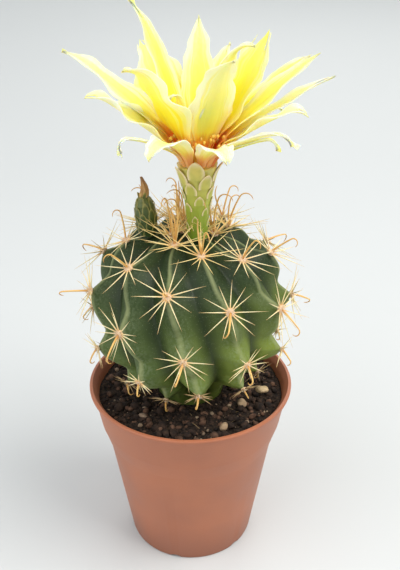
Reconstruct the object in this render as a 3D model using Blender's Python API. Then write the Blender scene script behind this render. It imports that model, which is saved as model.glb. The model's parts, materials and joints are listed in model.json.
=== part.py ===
"""Potted round cactus: a plastic nursery pot with potting mix, a ribbed globular stem with its
spine clusters, a yellow flower and a bud. Metres, +Z up, front towards -Y, pot base at z = 0."""

import math

import bmesh
import bpy
from mathutils import Matrix, Vector

# Pot
POT_HEIGHT = 0.0500
POT_FOOT_RADIUS = 0.0176
POT_RIM_RADIUS = 0.0275
POT_WALL = 0.0010
RIM_BAND_HEIGHT = 0.0110
RIM_BAND_STEP = 0.0017
SHOULDER_HEIGHT = 0.0047
SHOULDER_STEP = 0.0014
LIP_HEIGHT = 0.0008
LIP_STEP = 0.0010
BASE_EDGE = 0.0008
FLOOR_THICKNESS = 0.0012
FLOOR_LIFT = 0.0014
BOSS_RADIUS = 0.0055
FOOT_RING_WIDTH = 0.0022
DRAIN_HOLES = 6
DRAIN_HOLE_RADIUS = 0.0020
NOTCH_WIDTH = 0.0030
NOTCH_HEIGHT = 0.0010
NOTCH_TURN = 45.0

# Potting mix
SOIL_BELOW_RIM = 0.0034
SOIL_UNEVENNESS = 0.0005
SOIL_CLEARANCE = 0.0003
NECK_DEPTH = 0.0048
NECK_RADIUS = 0.0088
NECK_FLARE = 1.3
NECK_CLEARANCE = 0.0004
STONE_CLEARANCE = 0.0002
STONE_FLATNESS = 0.6
STONE_NARROWNESS = 0.78

# Stem
STEM_HEIGHT = 0.0430
STEM_RADIUS = 0.0267
STEM_WIDEST = 0.56
STEM_LIFT = 0.0034
STEM_FULLNESS = 2.3
RIBS = 11
RIB_DEPTH = 0.0060
RIB_SHARPNESS = 1.25
SADDLE_PROUD = 0.42
CHIN_POINT = 0.6
CHIN_UNDERCUT = 0.45
CROWN_DEPTH = 0.0022
CROWN_FADE = 0.5
CROWN_PROUD = 0.35
UNDERSIDE_DEPTH = 0.0030
RIB_TWIST = 0.67
FIRST_ROW_LIFT = 0.0024
ROW_ABOVE = 0.0148
ROW_BELOW = 0.0123
CROWN_SHIFT = 0.0049
FIRST_RIB_ANGLE = -3.7

# Spine clusters
CLUSTERS = 24
LOWEST_ROW = -0.40
PAD_RADIUS = 0.00115
PAD_HEIGHT = 0.0006
PAD_CLEARANCE = 0.0003
RADIAL_SPINES = 9
RADIAL_LENGTH = 0.0066
RADIAL_LIFT = 24.0
CENTRAL_LENGTH = 0.0100
CENTRAL_HOOK = 150.0

# Flower and bud
TUBE_LENGTH = 0.0190
TUBE_FOOT_RADIUS = 0.0026
TUBE_TOP_RADIUS = 0.0049
THROAT_RADIUS = 0.0018
THROAT_DEPTH = 0.0045
FLOWER_RADIUS_ON_CROWN = 0.0047
FLOWER_ANGLE = 25.0
TEPAL_THICKNESS = 0.0004
TEPAL_FOOT_WIDTH = 0.0016
TEPAL_WIDEST = 0.45
TEPAL_CLEARANCE = 0.0003
TEPAL_CUP = 0.22
TEPAL_RISE = 0.35
TEPAL_FLARE = 2.4
RING_MARGIN = 0.0007
STYLE_LENGTH = 0.0150
STYLE_RADIUS = 0.0004
STIGMA_HEIGHT = 0.0012
STIGMA_REACH = 0.0016
STAMEN_LENGTH = 0.0100
STAMEN_SPREAD = 0.14
COLLAR_ABOVE_TUBE = 0.0004
BUD_LENGTH = 0.0100
BUD_RADIUS = 0.0024
BUD_TIP_LENGTH = 0.0050
BUD_CLEARANCE = 0.0020
BUD_TILT = -5.0
BUD_RIB = -2
BUD_ROW = 1.88

SOIL_TOP = POT_HEIGHT - SOIL_BELOW_RIM
STEM_FOOT = SOIL_TOP - NECK_DEPTH
STEM_UNDERSIDE = SOIL_TOP + STEM_LIFT
STEM_CENTRE = STEM_UNDERSIDE + STEM_HEIGHT * STEM_WIDEST
RIB_STEP = 2 * math.pi / RIBS
ROW_SHIFT = 3 / RIBS

# Angle from the front, place between neck (0) and wall (1), and radius of each grit stone.
GRIT_STONES = ((81, 0.66, 0.0017), (57, 0.45, 0.0013), (24, 0.72, 0.0014), (-42, 0.60, 0.0012))

# Share of the bud's length and of its radius at each ring of its outline.
BUD_OUTLINE = ((0.0, 0.80), (0.25, 0.97), (0.55, 1.0), (0.8, 0.88), (0.95, 0.62), (1.0, 0.36))

# The same for the dry tip, whose foot is this share of the bud's radius.
BUD_TIP_FOOT = 0.34
BUD_TIP_OUTLINE = ((0.0, 1.0), (0.3, 1.3), (0.65, 0.8), (1.0, 0.2))

# Azimuth, lean from the vertical, length, width, tip curl, sweep and roll of each tepal.
# Angles are in degrees, counted from the front towards +X; lengths are in metres. The widths go
# with a tube of this top radius, and the tepals of a narrower or wider tube follow it.
WIDTHS_FOR_TUBE = 0.0049
INNER_TEPALS = (
    (-116, 20, 0.0395, 0.0076, 8, 0, -40),
    (-64, 34, 0.0320, 0.0104, 2, 0, 12),
    (5, 30, 0.0310, 0.0076, 14, 4, 0),
    (58, 17, 0.0340, 0.0110, 20, 4, 0),
    (108, 32, 0.0355, 0.0082, -6, 0, 30),
    (178, 24, 0.0350, 0.0084, 6, 0, 0),
)
MIDDLE_TEPALS = (
    (-144, 40, 0.0330, 0.0088, 8, 0, -18),
    (-103, 51, 0.0390, 0.0064, 4, 0, -18),
    (84, 46, 0.0375, 0.0078, 0, 0, 20),
    (115, 52, 0.0365, 0.0066, 6, 0, 8),
    (153, 30, 0.0300, 0.0074, -4, 0, 0),
    (-176, 53, 0.0305, 0.0062, 12, 0, 0),
)
OUTER_TEPALS = (
    (-79, 56, 0.0295, 0.0080, 18, 0, -4),
    (-54, 66, 0.0230, 0.0030, 66, 0, 0),
    (-28, 46, 0.0200, 0.0060, 130, -8, 0),
    (14, 46, 0.0165, 0.0056, 130, 12, 0),
    (42, 66, 0.0270, 0.0038, 42, 12, 0),
    (68, 58, 0.0295, 0.0066, 32, 0, 0),
    (98, 58, 0.0360, 0.0058, 4, -4, 0),
    (128, 68, 0.0280, 0.0050, 36, 0, 0),
    (152, 66, 0.0270, 0.0050, 40, 0, 0),
    (-168, 66, 0.0275, 0.0052, 36, 0, 0),
    (-134, 66, 0.0290, 0.0052, 36, 0, 0),
)


def material(name, colour, roughness):
    """A Principled material with one colour."""
    made = bpy.data.materials.new(name)
    made.use_nodes = True
    shader = made.node_tree.nodes["Principled BSDF"]
    shader.inputs["Base Color"].default_value = (*colour, 1.0)
    shader.inputs["Roughness"].default_value = roughness
    shader.inputs["Metallic"].default_value = 0.0
    return made


def finish(name, bm, look):
    """Turns a bmesh into a named, smooth-shaded object with its material."""
    bmesh.ops.recalc_face_normals(bm, faces=bm.faces)
    if bm.calc_volume(signed=True) < 0:
        bmesh.ops.reverse_faces(bm, faces=bm.faces)
    mesh = bpy.data.meshes.new(name)
    bm.to_mesh(mesh)
    bm.free()
    mesh.materials.append(look)
    mesh.shade_smooth()
    mesh.set_sharp_from_angle(angle=math.radians(40))
    made = bpy.data.objects.new(name, mesh)
    bpy.context.scene.collection.objects.link(made)
    return made


def turned(bm, outline, steps):
    """A body of revolution about Z from (radius, height) points; the ends lie on the axis."""
    verts = [bm.verts.new((radius, 0.0, height)) for radius, height in outline]
    edges = [bm.edges.new(pair) for pair in zip(verts, verts[1:])]
    bmesh.ops.spin(
        bm,
        geom=verts + edges,
        cent=(0, 0, 0),
        axis=(0, 0, 1),
        angle=2 * math.pi,
        steps=steps,
        use_merge=True,
    )
    bmesh.ops.remove_doubles(bm, verts=bm.verts, dist=1e-6)


def heading(azimuth):
    """The level unit vector at an azimuth in radians, counted from the front towards +X."""
    return Vector((math.sin(azimuth), -math.cos(azimuth), 0.0))


# ---- Pot ----


def wall_outline():
    """The pot's outer wall as (radius, height), from the foot to the lip."""
    band_foot = POT_HEIGHT - RIM_BAND_HEIGHT
    band_top = POT_RIM_RADIUS - LIP_STEP
    band_bottom = band_top - RIM_BAND_STEP
    return (
        (POT_FOOT_RADIUS - BASE_EDGE / 2, 0.0),
        (POT_FOOT_RADIUS, BASE_EDGE),
        (band_bottom - SHOULDER_STEP, band_foot - SHOULDER_HEIGHT),
        (band_bottom, band_foot),
        (band_top, POT_HEIGHT - 2 * LIP_HEIGHT),
        (POT_RIM_RADIUS, POT_HEIGHT - LIP_HEIGHT),
        (POT_RIM_RADIUS, POT_HEIGHT),
    )


def inner_radius(height):
    """The radius of the pot's inner wall at a height."""
    outline = wall_outline()[1:-1]
    for (low_radius, low), (high_radius, high) in zip(outline, outline[1:]):
        if height <= high:
            part = (height - low) / (high - low)
            return low_radius + part * (high_radius - low_radius) - POT_WALL
    return POT_RIM_RADIUS - POT_WALL


def make_pot(look):
    """Wall, rim band, lip, raised floor with a centre boss, foot ring, drain holes and notches."""
    floor_top = FLOOR_LIFT + FLOOR_THICKNESS
    ring_inside = POT_FOOT_RADIUS - FOOT_RING_WIDTH
    inside = [(inner_radius(z), z) for _, z in reversed(wall_outline()[2:-1])]
    outline = [
        (0.0, 0.0),
        (BOSS_RADIUS, 0.0),
        (BOSS_RADIUS + FLOOR_LIFT / 2, FLOOR_LIFT),
        (ring_inside - FLOOR_LIFT / 3, FLOOR_LIFT),
        (ring_inside, 0.0),
        *wall_outline(),
        (POT_RIM_RADIUS - POT_WALL, POT_HEIGHT),
        *inside,
        (inner_radius(floor_top), floor_top),
        (0.0, floor_top),
    ]
    bm = bmesh.new()
    turned(bm, outline, 54)
    pot = finish("pot", bm, look)

    cutters = bmesh.new()
    hole_ring = (BOSS_RADIUS + ring_inside) / 2
    for index in range(DRAIN_HOLES):
        angle = 2 * math.pi * index / DRAIN_HOLES
        place = Matrix.Translation(heading(angle) * hole_ring)
        bmesh.ops.create_cone(
            cutters,
            cap_ends=True,
            segments=12,
            radius1=DRAIN_HOLE_RADIUS,
            radius2=DRAIN_HOLE_RADIUS,
            depth=4 * floor_top,
            matrix=place,
        )
        slot_angle = angle + math.radians(NOTCH_TURN)
        slot = (
            Matrix.Translation(heading(slot_angle) * POT_FOOT_RADIUS)
            @ Matrix.Rotation(slot_angle, 4, "Z")
            @ Matrix.Diagonal((NOTCH_WIDTH, 3 * FOOT_RING_WIDTH, 2 * NOTCH_HEIGHT, 1.0))
        )
        bmesh.ops.create_cube(cutters, size=1.0, matrix=slot)
    cutter = finish("pot_cutter", cutters, look)
    cutter.hide_render = True
    cutter.display_type = "WIRE"
    cut = pot.modifiers.new("drainage", "BOOLEAN")
    cut.operation = "DIFFERENCE"
    cut.object = cutter
    return pot


# ---- Potting mix ----


def soil_height(x, y):
    """The height of the mix's uneven surface."""
    wave = math.sin(x * 420 + 0.6) * math.cos(y * 380 - 0.9) + 0.6 * math.sin(x * 910 - y * 760)
    return SOIL_TOP + SOIL_UNEVENNESS * wave / 1.6


def make_soil(look):
    """The mix fills the pot from its floor, with a pocket for the stem's neck."""
    floor_top = FLOOR_LIFT + FLOOR_THICKNESS + SOIL_CLEARANCE
    heights = [floor_top] + [z for _, z in wall_outline()[2:4]]
    edge = [(inner_radius(z) - SOIL_CLEARANCE, z) for z in heights]
    pocket = NECK_RADIUS + NECK_CLEARANCE
    pocket_floor = STEM_FOOT - NECK_CLEARANCE
    top_edge = inner_radius(SOIL_TOP) - SOIL_CLEARANCE
    rings = 5
    surface = [
        (top_edge + (pocket - top_edge) * ring / rings, SOIL_TOP) for ring in range(rings + 1)
    ]
    outline = [(0.0, floor_top), *edge, *surface, (pocket, pocket_floor), (0.0, pocket_floor)]
    bm = bmesh.new()
    turned(bm, outline, 42)
    for vert in bm.verts:
        if abs(vert.co.z - SOIL_TOP) < 1e-6:
            vert.co.z = soil_height(vert.co.x, vert.co.y)
    return finish("potting_mix", bm, look)


def make_stones(look):
    """Four grit stones that lie on the mix, between the neck and the wall."""
    wall = inner_radius(SOIL_TOP)
    for index, (angle, share, size) in enumerate(GRIT_STONES):
        radius = NECK_RADIUS + (wall - NECK_RADIUS) * share
        centre = heading(math.radians(angle)) * radius
        lift = size * STONE_FLATNESS + STONE_CLEARANCE + SOIL_UNEVENNESS
        shape = (
            Matrix.Translation(centre + Vector((0, 0, soil_height(centre.x, centre.y) + lift)))
            @ Matrix.Rotation(index * 1.3, 4, "Z")
            @ Matrix.Diagonal((1.0, STONE_NARROWNESS, STONE_FLATNESS, 1.0))
        )
        bm = bmesh.new()
        bmesh.ops.create_icosphere(bm, subdivisions=2, radius=size, matrix=shape)
        for vert in bm.verts:
            away = vert.co - shape.translation
            bump = math.sin(away.x * 2100 + index) * math.cos(away.y * 1900)
            vert.co += away * 0.08 * bump
        finish(f"grit_stone_{index + 1}", bm, look)


# ---- Stem ----


def oval(turn, radius, above, below):
    """A point (radius, height from the centre) of the stem's rounded outline at a turn angle."""
    power = 2 / STEM_FULLNESS
    out = radius * max(0.0, math.cos(turn)) ** power
    up = abs(math.sin(turn)) ** power
    return out, above * up if turn > 0 else -below * up


def tip_outline(turn):
    """The outline that the rib crests reach."""
    above = STEM_HEIGHT * (1 - STEM_WIDEST)
    return oval(turn, STEM_RADIUS, above, STEM_HEIGHT * STEM_WIDEST)


def groove_outline(turn):
    """The outline at the bottom of the grooves between the ribs."""
    above = STEM_HEIGHT * (1 - STEM_WIDEST) - CROWN_DEPTH
    below = STEM_HEIGHT * STEM_WIDEST - UNDERSIDE_DEPTH
    return oval(turn, STEM_RADIUS - RIB_DEPTH, above, below)


def arc_table(count=400):
    """Turn angles from foot to crown, each with its path length along the crest from row 0."""
    turns = [math.pi * (index / count - 0.5) for index in range(count + 1)]
    table, travelled = [], 0.0
    last = tip_outline(turns[0])
    for turn in turns:
        here = tip_outline(turn)
        travelled += math.dist(last, here)
        table.append((turn, travelled))
        last = here
    first_row = table[count // 2][1] - FIRST_ROW_LIFT
    return [(turn, path - first_row) for turn, path in table]


ARCS = arc_table()


def turn_at(path):
    """The turn angle at a path length above (+) or below (-) row 0."""
    for (low, short), (high, long) in zip(ARCS, ARCS[1:]):
        if path <= long:
            return low + (high - low) * (path - short) / (long - short)
    return ARCS[-1][0]


def path_at_row(row):
    """The path length of a row of areoles; rows are closer below row 0."""
    return row * (ROW_ABOVE if row > 0 else ROW_BELOW)


def row_at_path(path):
    return path / (ROW_ABOVE if path > 0 else ROW_BELOW)


def crest(row):
    """How proud the rib is at a row number, 1 at each areole, with the notch just above it."""
    part = row - math.floor(row)
    warped = part / (part + (1 - part) * CHIN_UNDERCUT)
    rounded = 0.5 + 0.5 * math.cos(2 * math.pi * warped)
    return rounded + (abs(1 - 2 * warped) - rounded) * CHIN_POINT


def stem_point(across, rib, path):
    """The stem's surface: across is -1 to 1 from groove to groove over a rib's crest."""
    turn = turn_at(path)
    swell = crest(row_at_path(path) + ROW_SHIFT * rib)
    ridge = (1 - abs(across)) ** RIB_SHARPNESS
    fade = min(1.0, max(0.0, (math.pi / 2 - turn) / CROWN_FADE))
    proud = ridge * (SADDLE_PROUD + (1 - SADDLE_PROUD) * swell) * fade + CROWN_PROUD * (1 - fade)
    tip, groove = tip_outline(turn), groove_outline(turn)
    radius = groove[0] + (tip[0] - groove[0]) * proud
    height = STEM_CENTRE + groove[1] + (tip[1] - groove[1]) * proud
    degrees = FIRST_RIB_ANGLE - RIB_TWIST * path * 1000
    angle = math.radians(degrees) + RIB_STEP * (rib + across / 2)
    lean = CROWN_SHIFT * max(0.0, (height - STEM_UNDERSIDE) / STEM_HEIGHT) ** 2
    return heading(angle) * radius + Vector((0.0, lean, height))


def crest_normal(rib, path):
    """The outward direction at a place on a rib's crest."""
    reach = 0.1
    side = stem_point(reach, rib, path) - stem_point(-reach, rib, path)
    turn = turn_at(path)
    slope = 0.02
    low, high = tip_outline(turn - slope), tip_outline(turn + slope)
    place = stem_point(0.0, rib, path)
    lean = CROWN_SHIFT * (place.z - STEM_UNDERSIDE) / STEM_HEIGHT
    level = Vector((place.x, place.y - lean, 0.0)).normalized()
    outward = level * (high[1] - low[1]) + Vector((0, 0, low[0] - high[0]))
    side.normalize()
    return (outward - side * outward.dot(side) / 2).normalized()


def make_stem(look):
    """A turned tube of columns and rows, moved onto the ribbed surface; its neck is in the mix."""
    per_rib, rows = 6, 26
    columns = RIBS * per_rib
    foot_path = next(path for turn, path in ARCS if tip_outline(turn)[0] > NECK_RADIUS * NECK_FLARE)
    crown_path = ARCS[-1][1]
    step = (crown_path - foot_path) / rows
    outline = [(1.0, row) for row in range(rows)]
    bm = bmesh.new()
    verts = [bm.verts.new((radius, 0.0, height)) for radius, height in outline]
    edges = [bm.edges.new(pair) for pair in zip(verts, verts[1:])]
    bmesh.ops.spin(
        bm,
        geom=verts + edges,
        cent=(0, 0, 0),
        axis=(0, 0, 1),
        angle=2 * math.pi,
        steps=columns,
        use_merge=True,
    )
    for vert in bm.verts:
        column = round(math.atan2(vert.co.y, vert.co.x) / (2 * math.pi) * columns) % columns
        rib, place = divmod(column, per_rib)
        path = foot_path + step * round(vert.co.z)
        if place > per_rib / 2:
            rib, place = rib + 1, place - per_rib
        vert.co = stem_point(2 * place / per_rib, rib, path)
    bm.edges.ensure_lookup_table()
    ends = [edge for edge in bm.edges if edge.is_boundary]
    top = [edge for edge in ends if edge.verts[0].co.z > STEM_CENTRE]
    bottom = [edge for edge in ends if edge.verts[0].co.z < STEM_CENTRE]
    bmesh.ops.contextual_create(bm, geom=top)
    lid = max(bm.faces, key=lambda face: len(face.verts))
    bmesh.ops.poke(bm, faces=[lid])
    for height in (SOIL_TOP + 2 * SOIL_UNEVENNESS, STEM_FOOT):
        grown = bmesh.ops.extrude_edge_only(bm, edges=bottom)["geom"]
        bottom = [item for item in grown if isinstance(item, bmesh.types.BMEdge)]
        for vert in {vert for edge in bottom for vert in edge.verts}:
            level = Vector((vert.co.x, vert.co.y, 0.0)).normalized() * NECK_RADIUS
            vert.co = level + Vector((0.0, 0.0, height))
    bmesh.ops.contextual_create(bm, geom=bottom)
    return finish("cactus_stem", bm, look)


# ---- Spine clusters ----


def areoles():
    """(rib, row) of each areole that has a spine cluster here, the lowest row first."""
    found = []
    for rib in range(RIBS):
        first = math.ceil(LOWEST_ROW + ROW_SHIFT * rib) - ROW_SHIFT * rib
        found += [(first + step, rib) for step in range(4)]
    return [(rib, row) for row, rib in sorted(found)[:CLUSTERS]]


def make_cluster(name, rib, row, look):
    """A felt pad whose sides grow into radial spines and whose top grows into a hooked one."""
    path = path_at_row(row)
    place = stem_point(0.0, rib, path)
    normal = crest_normal(rib, path)
    bm = bmesh.new()
    bmesh.ops.create_cone(
        bm,
        cap_ends=True,
        segments=RADIAL_SPINES,
        radius1=PAD_RADIUS,
        radius2=PAD_RADIUS * 0.9,
        depth=PAD_HEIGHT,
        matrix=Matrix.Translation((0, 0, PAD_CLEARANCE + PAD_HEIGHT / 2)),
    )
    sides = [face for face in bm.faces if abs(face.normal.z) < 0.7]
    top = max(bm.faces, key=lambda face: face.calc_center_median().z)
    tips = bmesh.ops.extrude_discrete_faces(bm, faces=sides)["faces"]
    for index, face in enumerate(tips):
        middle = face.calc_center_median()
        out = Vector((middle.x, middle.y, 0.0)).normalized()
        lift = math.tan(math.radians(RADIAL_LIFT))
        reach = RADIAL_LENGTH * (0.86 + 0.14 * math.cos(2.1 * index + rib))
        tip = out * reach + Vector((0, 0, PAD_CLEARANCE + lift * reach))
        for vert in face.verts:
            vert.co = tip + (vert.co - middle) * 0.14
    wedges = bmesh.ops.poke(bm, faces=[top])["faces"]
    shaft = min(wedges, key=lambda face: face.calc_center_median().y)
    steps, bent = 6, 0.0
    for step in range(1, steps + 1):
        shaft = bmesh.ops.extrude_discrete_faces(bm, faces=[shaft])["faces"][0]
        bend = math.radians(CENTRAL_HOOK * (step / steps) ** 3)
        stride = CENTRAL_LENGTH / steps * (1.25 - 0.6 * step / steps)
        move = Vector((0.0, -math.sin(bend), math.cos(bend))) * stride
        turn = Matrix.Rotation(bend - bent, 3, "X")
        shrink = 0.55 if step == 1 else 0.88
        middle = shaft.calc_center_median()
        for vert in shaft.verts:
            vert.co = middle + turn @ ((vert.co - middle) * shrink) + move
        bent = bend
    up = Vector((0, 0, 1)) - normal * normal.z
    across = up.normalized().cross(normal)
    basis = Matrix((across, normal.cross(across), normal)).transposed().to_4x4()
    bm.transform(Matrix.Translation(place) @ basis)
    return finish(name, bm, look)


# ---- Flower and bud ----


def flower_foot():
    """The middle of the flower tube's foot, just clear of the crown's highest point under it."""
    foot = Vector((0.0, CROWN_SHIFT, 0.0))
    foot += heading(math.radians(FLOWER_ANGLE)) * FLOWER_RADIUS_ON_CROWN
    margin, steps, per_rib = 1.2, 12, 6
    reach = margin * (FLOWER_RADIUS_ON_CROWN + TUBE_FOOT_RADIUS)
    for step in range(steps):
        path = ARCS[-1][1] - reach * step / steps
        for rib in range(RIBS):
            for place in range(per_rib):
                point = stem_point(2 * place / per_rib - 1, rib, path)
                if math.dist(point.xy, foot.xy) < margin * TUBE_FOOT_RADIUS:
                    foot.z = max(foot.z, point.z)
    foot.z += TEPAL_CLEARANCE
    return foot


FLOWER_FOOT = flower_foot()


def make_tube(look):
    """The tube widens upwards and carries the tepals on its top face, round the throat."""
    outline = [(0.0, 0.0)]
    for share in (0.0, 0.25, 0.5, 0.7, 0.85, 1.0):
        spread = (TUBE_TOP_RADIUS - TUBE_FOOT_RADIUS) * share**2.2
        outline.append((TUBE_FOOT_RADIUS + spread, TUBE_LENGTH * share))
    outline.append((THROAT_RADIUS, TUBE_LENGTH))
    outline.append((THROAT_RADIUS, TUBE_LENGTH - THROAT_DEPTH))
    outline.append((0.0, TUBE_LENGTH - THROAT_DEPTH))
    bm = bmesh.new()
    turned(bm, outline, 20)
    bm.transform(Matrix.Translation(FLOWER_FOOT))
    return finish("flower_tube", bm, look)


def tepal_point(across, along, ring, shape):
    """A point of a tepal's mid surface: across is -1 to 1, along is 0 at the foot, 1 at the tip."""
    azimuth, lean, length, width, curl, sweep, roll = shape
    follow = TUBE_TOP_RADIUS / WIDTHS_FOR_TUBE
    width *= follow
    steps = 24
    out, up, side = ring, 0.0, 0.0
    for step in range(round(steps * along)):
        share = (step + 0.5) / steps
        bend = lean * min(1.0, TEPAL_RISE + share * TEPAL_FLARE) + curl * share**3
        out += math.sin(math.radians(bend)) * length / steps
        up += math.cos(math.radians(bend)) * length / steps
        side += math.tan(math.radians(sweep)) * math.sin(math.radians(bend)) * length / steps
    bend = lean * min(1.0, TEPAL_RISE + along * TEPAL_FLARE) + curl * along**3
    narrow = TEPAL_FOOT_WIDTH * follow / width
    grown = min(1.0, along / TEPAL_WIDEST)
    rising = narrow + (1 - narrow) * grown * grown * (3 - 2 * grown)
    beyond = max(0.0, (along - TEPAL_WIDEST) / (1 - TEPAL_WIDEST))
    half = max(width / 2 * rising * (1 - beyond**2) ** 0.8, 0.0003)
    turn = math.radians(roll) * min(1.0, along * 2)
    inward = TEPAL_CUP * half * across * across + across * half * math.sin(turn)
    out -= inward * math.cos(math.radians(bend))
    up += inward * math.sin(math.radians(bend))
    side += across * half * math.cos(turn)
    ahead = heading(math.radians(azimuth))
    return ahead * out + Vector((-ahead.y, ahead.x, 0.0)) * side + Vector((0, 0, up))


def make_tepal(name, ring, shape, look):
    """A thin blade on the tube's top face."""
    columns, rows = 2, 8
    bm = bmesh.new()
    bmesh.ops.create_grid(bm, x_segments=columns, y_segments=rows, size=1.0)
    base = FLOWER_FOOT + Vector((0, 0, TUBE_LENGTH + TEPAL_CLEARANCE))
    for vert in bm.verts:
        vert.co = base + tepal_point(vert.co.x, (vert.co.y + 1) / 2, ring, shape)
    bmesh.ops.recalc_face_normals(bm, faces=bm.faces)
    bmesh.ops.solidify(bm, geom=bm.faces[:], thickness=TEPAL_THICKNESS)
    return finish(name, bm, look)


def make_stamens(look):
    """A short collar of filaments in the throat, each ending in a spread tip."""
    count = 10
    outer = THROAT_RADIUS - TEPAL_CLEARANCE
    inner = STYLE_RADIUS + TEPAL_CLEARANCE
    collar = THROAT_DEPTH + COLLAR_ABOVE_TUBE
    bm = bmesh.new()
    outline = [(inner, 0.0), (outer, 0.0), (outer, collar), (inner, collar), (inner, 0.0)]
    turned(bm, outline, count)
    tops = [face for face in bm.faces if face.calc_center_median().z > collar * 0.99]
    for face in bmesh.ops.extrude_discrete_faces(bm, faces=tops)["faces"]:
        middle = face.calc_center_median()
        out = Vector((middle.x, middle.y, 0.0)).normalized()
        tip = middle + Vector((0, 0, STAMEN_LENGTH)) + out * STAMEN_LENGTH * STAMEN_SPREAD
        for vert in face.verts:
            vert.co = tip + (vert.co - middle) * 0.5
    floor = TUBE_LENGTH - THROAT_DEPTH + TEPAL_CLEARANCE
    bm.transform(Matrix.Translation(FLOWER_FOOT + Vector((0, 0, floor))))
    return finish("stamens", bm, look)


def make_style(look):
    """A slim column that ends in seven spread stigma lobes."""
    lobes = 7
    bm = bmesh.new()
    crown = STYLE_LENGTH - STIGMA_HEIGHT
    outline = [(0.0, 0.0), (STYLE_RADIUS, 0.0), (STYLE_RADIUS, crown), (STYLE_RADIUS, STYLE_LENGTH)]
    turned(bm, [*outline, (0.0, STYLE_LENGTH)], lobes)
    sides = [
        face
        for face in bm.faces
        if abs(face.normal.z) < 0.5 and face.calc_center_median().z > crown
    ]
    for face in bmesh.ops.extrude_discrete_faces(bm, faces=sides)["faces"]:
        middle = face.calc_center_median()
        out = Vector((middle.x, middle.y, 0.0)).normalized()
        tip = middle + out * STIGMA_REACH + Vector((0, 0, STIGMA_HEIGHT))
        for vert in face.verts:
            vert.co = tip + (vert.co - middle) * 0.5
    floor = TUBE_LENGTH - THROAT_DEPTH + TEPAL_CLEARANCE
    bm.transform(Matrix.Translation(FLOWER_FOOT + Vector((0, 0, floor))))
    return finish("style", bm, look)


def make_bud(look, dry_look):
    """A closed, egg-shaped bud on a crown tubercle, with the dry tip on top of it."""
    foot = stem_point(0.0, BUD_RIB, path_at_row(BUD_ROW))
    foot.z += BUD_CLEARANCE
    outline = [(0.0, 0.0)]
    outline += [(BUD_RADIUS * wide, BUD_LENGTH * share) for share, wide in BUD_OUTLINE]
    outline.append((0.0, BUD_LENGTH))
    tilt = Matrix.Translation(foot) @ Matrix.Rotation(math.radians(BUD_TILT), 4, "Y")
    bud = bmesh.new()
    turned(bud, outline, 14)
    bud.transform(tilt)
    finish("flower_bud", bud, look)
    tip = bmesh.new()
    tip_foot = BUD_RADIUS * BUD_TIP_FOOT
    outline = [(0.0, 0.0)]
    outline += [(tip_foot * wide, BUD_TIP_LENGTH * share) for share, wide in BUD_TIP_OUTLINE]
    outline.append((0.0, BUD_TIP_LENGTH))
    turned(tip, outline, 8)
    tip.transform(tilt @ Matrix.Translation((0, 0, BUD_LENGTH + TEPAL_CLEARANCE)))
    finish("bud_dry_tip", tip, dry_look)


# ---- Assembly ----

for old in list(bpy.data.objects):
    bpy.data.objects.remove(old, do_unlink=True)

make_pot(material("terracotta_plastic", (0.42, 0.155, 0.080), 0.45))
make_soil(material("peat", (0.018, 0.011, 0.008), 0.95))
make_stones(material("pale_grit", (0.50, 0.36, 0.20), 0.85))
make_stem(material("cactus_skin", (0.060, 0.115, 0.038), 0.55))

spine_look = material("spines", (0.72, 0.50, 0.28), 0.6)
for number, (rib, row) in enumerate(areoles(), start=1):
    make_cluster(f"spine_cluster_{number:02d}", rib, row, spine_look)

make_tube(material("flower_tube_skin", (0.26, 0.30, 0.045), 0.5))
petal_look = material("yellow_petal", (0.88, 0.68, 0.10), 0.5)
outer_look = material("outer_petal", (0.78, 0.60, 0.16), 0.5)
inner_ring = THROAT_RADIUS + RING_MARGIN
outer_ring = TUBE_TOP_RADIUS - RING_MARGIN
for prefix, shapes, ring, look in (
    ("tepal_inner", INNER_TEPALS, inner_ring, petal_look),
    ("tepal_middle", MIDDLE_TEPALS, (inner_ring + outer_ring) / 2, petal_look),
    ("tepal_outer", OUTER_TEPALS, outer_ring, outer_look),
):
    for number, shape in enumerate(shapes, start=1):
        make_tepal(f"{prefix}_{number:02d}", ring, shape, look)
make_stamens(material("pollen_yellow", (0.80, 0.52, 0.06), 0.7))
make_style(material("stigma", (0.75, 0.66, 0.25), 0.6))
make_bud(
    material("bud_scales", (0.090, 0.130, 0.035), 0.6),
    material("dry_petal", (0.30, 0.15, 0.06), 0.8),
)
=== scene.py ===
import json
import math
import random

import bmesh
import bpy
from mathutils import Matrix, Vector, noise

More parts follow.
